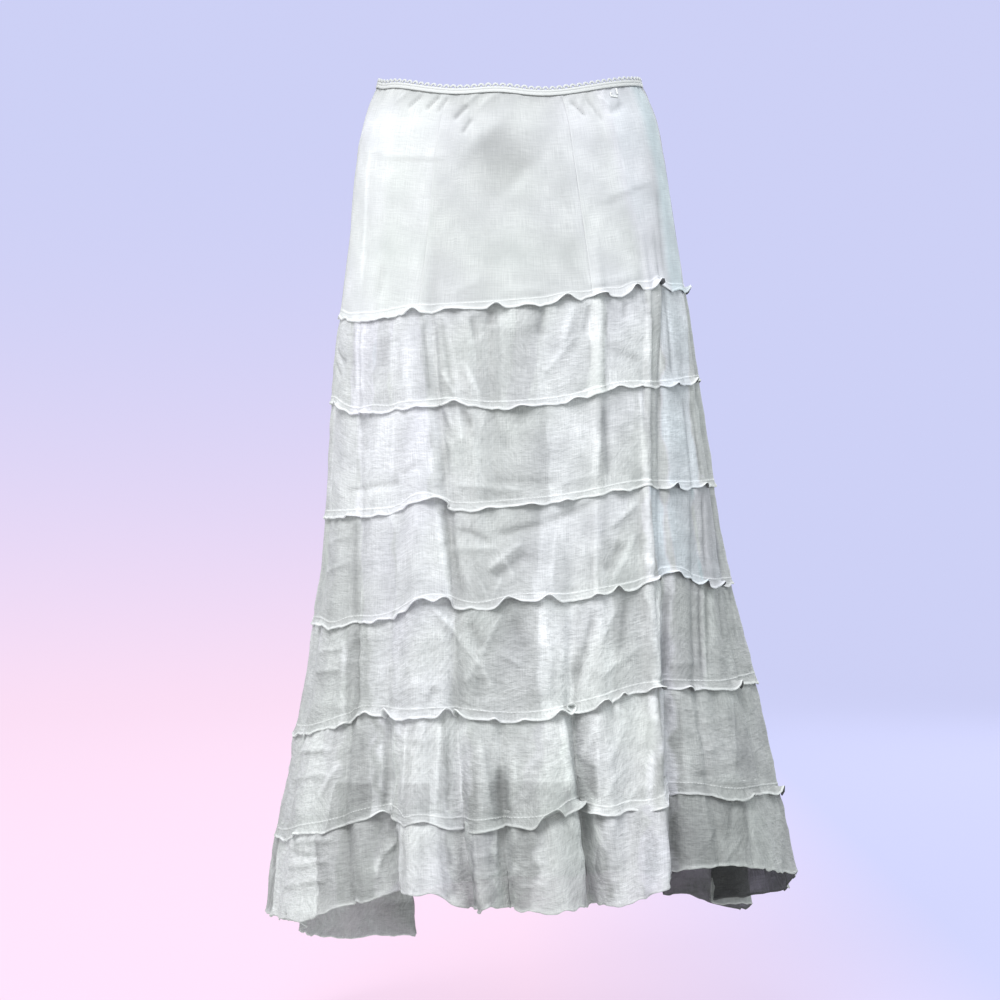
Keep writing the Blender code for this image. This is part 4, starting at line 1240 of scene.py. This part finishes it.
def tack_places():
    """The places of the tacks' threads, as stitches end to end."""
    points, along, out = [], [], []
    for tack in TACKS:
        normal = outward_normals(np.array([tack.turn]), np.array([tack.level]))[0]
        level_line = unit(np.cross(np.array([0.0, 0.0, 1.0]), normal))
        rising = np.cross(normal, level_line)
        lean = math.radians(tack.lean)
        direction = level_line * math.cos(lean) + rising * math.sin(lean)
        middle = skirt_points(tack.turn, tack.level) + normal * TACK_OUT * MM
        beside = np.cross(normal, direction)
        for thread in range(tack.threads):
            aside = (thread - (tack.threads - 1) / 2) * TACK_THREAD * MM
            for at in np.arange(-tack.length / 2, tack.length / 2 + 0.01, TACK_STEP):
                points.append(middle + beside * aside + direction * at * MM)
                along.append(direction)
                out.append(normal)
    return np.array(points), np.array(along), np.array(out)


def make_stitches(material):
    places = [stitch_places(line, normals, False) for line, normals in yoke_seam]
    places += [stitch_places(line, normals, True) for line, normals in seam_lines]
    places.append(tack_places())
    points, along, out = (np.concatenate(parts) for parts in zip(*places))
    return scattered("seam_stitches", points, along, out, stitch_mesh(), material, 0.3, 9)


# ---------------------------------------------------------------- materials


def new_material(name):
    material = bpy.data.materials.new(name)
    material.use_nodes = True
    material.node_tree.nodes.clear()
    return material, material.node_tree


def math_node(tree, operation, a, b, c=0.0):
    return wire(tree, "ShaderNodeMath", {0: a, 1: b, 2: c}, operation=operation).outputs[0]


def noise(tree, vector, scale, detail=0.0, stretch=None):
    if stretch:
        vector = wire(tree, "ShaderNodeMapping", {"Vector": vector, "Scale": stretch}).outputs[0]
    return wire(tree, "ShaderNodeTexNoise", {"Vector": vector, "Scale": scale, "Detail": detail}).outputs[0]


def mixed(tree, share, a, b, **settings):
    """Two colours mixed, each one given as three numbers or as another node's output."""
    a, b = (colour if isinstance(colour, bpy.types.NodeSocket) else (*colour, 1) for colour in (a, b))
    return wire(tree, "ShaderNodeMix", {0: share, 6: a, 7: b}, data_type="RGBA", **settings).outputs[2]


def mapped(tree, value, start, end, least=0.0, most=1.0):
    """A value that goes from least to most as another goes from start to end, and stays there."""
    given = {0: value, 1: start, 2: end, 3: least, 4: most}
    return wire(tree, "ShaderNodeMapRange", given).outputs[0]


def bumped(tree, strength, depth, height):
    given = {"Strength": strength, "Distance": depth, "Height": height}
    return wire(tree, "ShaderNodeBump", given).outputs[0]


def coated(tree, tint, roughness, bump, more=()):
    given = {"Base Color": tint, "Roughness": roughness, "Normal": bump, **dict(more)}
    return wire(tree, "ShaderNodeBsdfPrincipled", given).outputs[0]


def finish(tree, surface):
    wire(tree, "ShaderNodeOutputMaterial", {"Surface": surface})


CASTS = [  # painted tints: grey-green for shade, white, lilac for light and pale blue, a painted reflection
    (0.0, (0.92, 0.952, 0.92)),
    (0.25, (0.943, 0.947, 0.95)),
    (0.5, (0.957, 0.943, 1.0)),
    (1.0, (0.85, 0.94, 1.0)),
]
CREPE = (300, 520, 1)  # how many of the crepe's fine crinkles lie in a metre along and across them
WRINKLES = (110, 260, 1)  # the same for its larger wrinkles
WEAVE = (1100, 50)  # the same for the threads, across and along them
CREPE_TURNS = (0.95, -0.9, 0.08)  # radians that they lean in different places
CREPE_AREAS = (13.0, 9.0)  # how fast those places follow each other, per metre
GLOW = 0.22  # how much of the light goes on through the cloth
HEM_BLEND = 0.0015  # half the height, in metres, over which the lining's hem shows


def gauze(name, thin, thick, sheer, crinkle, grain):
    """Crinkled cotton gauze: thin and thick are its colours where few and many threads lie together,
    sheer is how much shows through it, crinkle is the depth of its fine crinkles in metres, and grain
    how far painted shade darkens their hollows and painted highlight brightens their tops."""
    material, tree = new_material(name)
    uv = wire(tree, "ShaderNodeUVMap", uv_map="cloth").outputs[0]
    cover, tone, lined, cast = (
        wire(tree, "ShaderNodeAttribute", attribute_name=key).outputs["Fac"]
        for key in ("cover", "tone", "lined", "cast")
    )
    warp, weft = (noise(tree, uv, 1.0, stretch=(*way, 1)) for way in (WEAVE, WEAVE[::-1]))
    threads = math_node(tree, "ADD", warp, weft)
    patches = noise(tree, uv, 26.0, 1.0)
    ways = [
        wire(tree, "ShaderNodeVectorRotate", {"Vector": uv, "Angle": turn}, rotation_type="Z_AXIS").outputs[0]
        for turn in CREPE_TURNS
    ]
    place = ways[0]
    for scale, way in zip(CREPE_AREAS, ways[1:]):
        where = math_node(tree, "GREATER_THAN", noise(tree, uv, scale), 0.5)
        place = wire(tree, "ShaderNodeMix", {0: where, 4: place, 5: way}, data_type="VECTOR").outputs[1]
    crepe = noise(tree, place, 1.0, 1.0, CREPE)
    wrinkles = noise(tree, place, 1.0, 0.0, WRINKLES)
    fine = math_node(tree, "MULTIPLY_ADD", wrinkles, 0.5, math_node(tree, "MULTIPLY", crepe, 0.5))
    broad = noise(tree, uv, 1.0, 1.0, (80, 60, 1))
    dense = math_node(tree, "MAXIMUM", cover, math_node(tree, "MULTIPLY", threads, patches))
    tint = mixed(tree, dense, thin, thick)
    # painted shade below the lining's hem
    tone = math_node(tree, "MULTIPLY", tone, mapped(tree, lined, -HEM_BLEND, HEM_BLEND, UNLINED_SHADE))
    # painted shade in the crinkles' hollows and painted highlight on their tops, following the bump below
    tone = math_node(tree, "MULTIPLY", tone, math_node(tree, "MULTIPLY_ADD", fine, grain, 1 - grain / 2))
    tint = wire(tree, "ShaderNodeVectorMath", {0: tint, 3: tone}, operation="SCALE").outputs[0]
    # the cast: the patches' painted tints of light and shade, with a slow random drift as well
    drift = math_node(tree, "MULTIPLY_ADD", cast, 0.45, noise(tree, uv, 9.0, 1.0))
    casts = wire(tree, "ShaderNodeValToRGB", {0: math_node(tree, "MULTIPLY", drift, 0.5)})
    stops = casts.color_ramp.elements
    for place, colour in CASTS[1:-1]:
        stops.new(place).color = (*colour, 1)
    stops[0].color, stops[-1].color = (*CASTS[0][1], 1), (*CASTS[-1][1], 1)
    tint = mixed(tree, 1.0, tint, casts.outputs[0], blend_type="MULTIPLY")
    height = math_node(tree, "MULTIPLY_ADD", threads, 0.12, fine)
    bump = bumped(tree, 1.0, crinkle, math_node(tree, "MULTIPLY_ADD", broad, 0.8, height))
    sheen = {"Specular IOR Level": 0.25, "Sheen Weight": 0.12, "Sheen Roughness": 0.5}
    cotton = coated(tree, tint, 0.88, bump, sheen)
    glow = wire(tree, "ShaderNodeBsdfTranslucent", {"Color": tint, "Normal": bump}).outputs[0]
    cloth = wire(tree, "ShaderNodeMixShader", {0: GLOW, 1: cotton, 2: glow}).outputs[0]
    clear = wire(tree, "ShaderNodeBsdfTransparent").outputs[0]
    holes = math_node(tree, "MULTIPLY", math_node(tree, "SUBTRACT", 1.0, dense), sheer)
    finish(tree, wire(tree, "ShaderNodeMixShader", {0: holes, 1: cloth, 2: clear}).outputs[0])
    return material


def thread(name, colour, scale, depth):
    """Soft cotton thread, with the fine twist of its fibres."""
    material, tree = new_material(name)
    place = wire(tree, "ShaderNodeTexCoord").outputs["Object"]
    fibres = noise(tree, place, scale, 2.0)
    tint = mixed(tree, fibres, tuple(0.86 * part for part in colour), colour)
    bump = bumped(tree, 0.8, depth, fibres)
    finish(tree, coated(tree, tint, 0.7, bump, {"Specular IOR Level": 0.3}))
    return material


def elastic(name):
    """Woven elastic: upright cords side by side, crossed by fine weft."""
    material, tree = new_material(name)
    uv = wire(tree, "ShaderNodeUVMap", uv_map="cloth").outputs[0]
    waves = {"Vector": uv, "Scale": 260.0, "Distortion": 0.6, "Detail": 1.0}
    cords = wire(tree, "ShaderNodeTexWave", waves, bands_direction="X").outputs[1]
    weft = noise(tree, uv, 1.0, 1.0, (300, 1800, 1))
    height = math_node(tree, "MULTIPLY_ADD", weft, 0.6, cords)
    tint = mixed(tree, height, (0.45, 0.46, 0.465), (0.58, 0.583, 0.58))
    finish(tree, coated(tree, tint, 0.75, bumped(tree, 0.7, 0.00025, height)))
    return material


PAPER_X = (0.62, 0.02)  # between these the second colour comes in from the side
PAPER_TOP = 1.2  # height above which there is none of it
PAPER_GLOW = 0.85  # how much of the paper's brightness doesn't depend on the lights


def paper(name, far, near):
    """Seamless paper that is far's colour at the back, and near's in front on the floor."""
    material, tree = new_material(name)
    place = wire(tree, "ShaderNodeTexCoord").outputs["Object"]
    x, _, z = wire(tree, "ShaderNodeSeparateXYZ", {0: place}).outputs
    lower = math_node(tree, "POWER", mapped(tree, z, PAPER_TOP, FLOOR), 2.7)
    tint = mixed(tree, math_node(tree, "MULTIPLY", lower, mapped(tree, x, *PAPER_X)), far, near)
    matt = wire(tree, "ShaderNodeBsdfDiffuse", {"Color": tint}).outputs[0]
    lit = wire(tree, "ShaderNodeEmission", {"Color": tint, "Strength": 1.0}).outputs[0]
    finish(tree, wire(tree, "ShaderNodeMixShader", {0: PAPER_GLOW, 1: matt, 2: lit}).outputs[0])
    return material


# ---------------------------------------------------------------- the skirt

yoke_gauze = gauze("yoke gauze", (0.83, 0.84, 0.845), (0.97, 0.975, 0.975), 0.25, 0.0003, 0.05)
tier_gauze = gauze("tier gauze", (0.78, 0.79, 0.79), (0.97, 0.975, 0.975), 0.35, 0.001, 0.4)
lower_gauze = gauze("lower tier gauze", (0.78, 0.79, 0.79), (0.97, 0.975, 0.975), 0.35, 0.0014, 0.6)
lining_lawn = gauze("lining lawn", (0.69, 0.705, 0.72), (0.74, 0.75, 0.76), 0.10, 0.0002, 0.05)
elastic_finish = elastic("picot elastic")
sewing_thread = thread("sewing thread", (0.82, 0.825, 0.83), 2500, 0.0001)


def line_length(level, first=0.0, last=360.0, folded=True):
    line = skirt_points(np.linspace(first, last, 2001), float(level), folded)
    return float(paces(line).sum())


band = make_waistband(elastic_finish)
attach(band, "root")
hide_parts("waistband")
picots = make_picots(elastic_finish)
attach(picots, "root")

for gore, following in zip(GORES, GORES[1:] + GORES[:1]):
    piece = make_gore(gore, following, yoke_gauze)
    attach(piece, "root")
    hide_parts(gore.name)
    lap = 2 * TURNED_UNDER[-1] * MM
    sides = [
        line_length(level, first, last + 360 * (last < first)) + lap
        for level, first, last in (
            (0, gore.at_waist, following.at_waist),
            (1, gore.at_foot, following.at_foot),
        )
    ]

for number in range(1, HEM_LEVEL):
    piece = make_tier(number, tier_gauze if number < 4 else lower_gauze)
    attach(piece, "root")
    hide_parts(f"tier_{number}")
    line_length(number + 1)

lining = make_lining(lining_lawn)
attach(lining, "root")
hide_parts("lining")
sides = [line_length(level, folded=False) for level in (0, LINING_FOOT)]

stitches = make_stitches(sewing_thread)
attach(stitches, "root")

# ---------------------------------------------------------------- stage, light and camera

SCALE = 1.12 * MM  # width of a picture element at the middle of the skirt
FRAME = 1000  # how many of them lie side by side
DISTANCE = 2.6  # of the camera from there
SENSOR = 36
camera_data = bpy.data.cameras.new("camera")
camera_data.sensor_width = SENSOR
camera_data.lens = SENSOR * DISTANCE / (FRAME * SCALE)
camera = bpy.data.objects.new("camera", camera_data)
camera.location = (-0.0112, -DISTANCE, -0.4614)
camera.rotation_euler = (math.pi / 2, 0, 0)
bpy.context.scene.collection.objects.link(camera)
bpy.context.scene.camera = camera
bpy.context.scene.view_settings.view_transform = "Standard"

FLOOR = -1.06  # its height


def make_bowl(material):
    """A round floor that curves up into a wall all round."""
    flat, bend, top, steps, sides = 4.2, 1.8, 5.0, 12, 64
    profile = [(0.0, FLOOR), (flat / 2, FLOOR), (flat, FLOOR)]
    for step in range(1, steps + 1):
        angle = math.pi / 2 * step / steps
        profile.append((flat + bend * math.sin(angle), FLOOR + bend * (1 - math.cos(angle))))
    profile.append((flat + bend, top))
    circle = [2 * math.pi * k / sides for k in range(sides)]
    rings = [
        [(radius * math.cos(angle), radius * math.sin(angle), height) for angle in circle]
        for radius, height in profile
    ]
    bowl = new_piece("bowl", plain_mesh("bowl", rings), material)
    bowl.visible_diffuse = False
    bowl.visible_shadow = False
    return bowl


make_bowl(paper("lavender paper", (0.62, 0.64, 0.93), (0.97, 0.74, 0.92)))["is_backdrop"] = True


def make_light(name, place, aim, size, power, colour):
    data = bpy.data.lights.new(name, "AREA")
    data.shape = "DISK"
    data.size = size
    data.energy = power
    data.color = colour
    light = bpy.data.objects.new(name, data)
    light.location = place
    light.rotation_euler = (Vector(aim) - Vector(place)).to_track_quat("-Z", "Y").to_euler()
    bpy.context.scene.collection.objects.link(light)


make_light("key", (-0.9, -2.5, 2.97), (0, 0, -0.4), 2.6, 216, (0.975, 0.985, 1.0))
make_light("back", (1.9, 3.0, 0.9), (0, 0, -0.5), 2.2, 62, (0.985, 0.99, 1.0))
make_light("fill", (2.3, -1.5, 0.2), (0, 0, -0.4), 1.6, 8, (0.7, 0.86, 1.0))
world = bpy.data.worlds.new("room")
world.use_nodes = True
air = world.node_tree.nodes["Background"].inputs
air["Color"].default_value, air["Strength"].default_value = (0.95, 1.0, 0.97, 1), 0.735
bpy.context.scene.world = world

{"cad": [list(corner) for corner in cad_box], "scene": [list(corner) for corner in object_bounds()]}
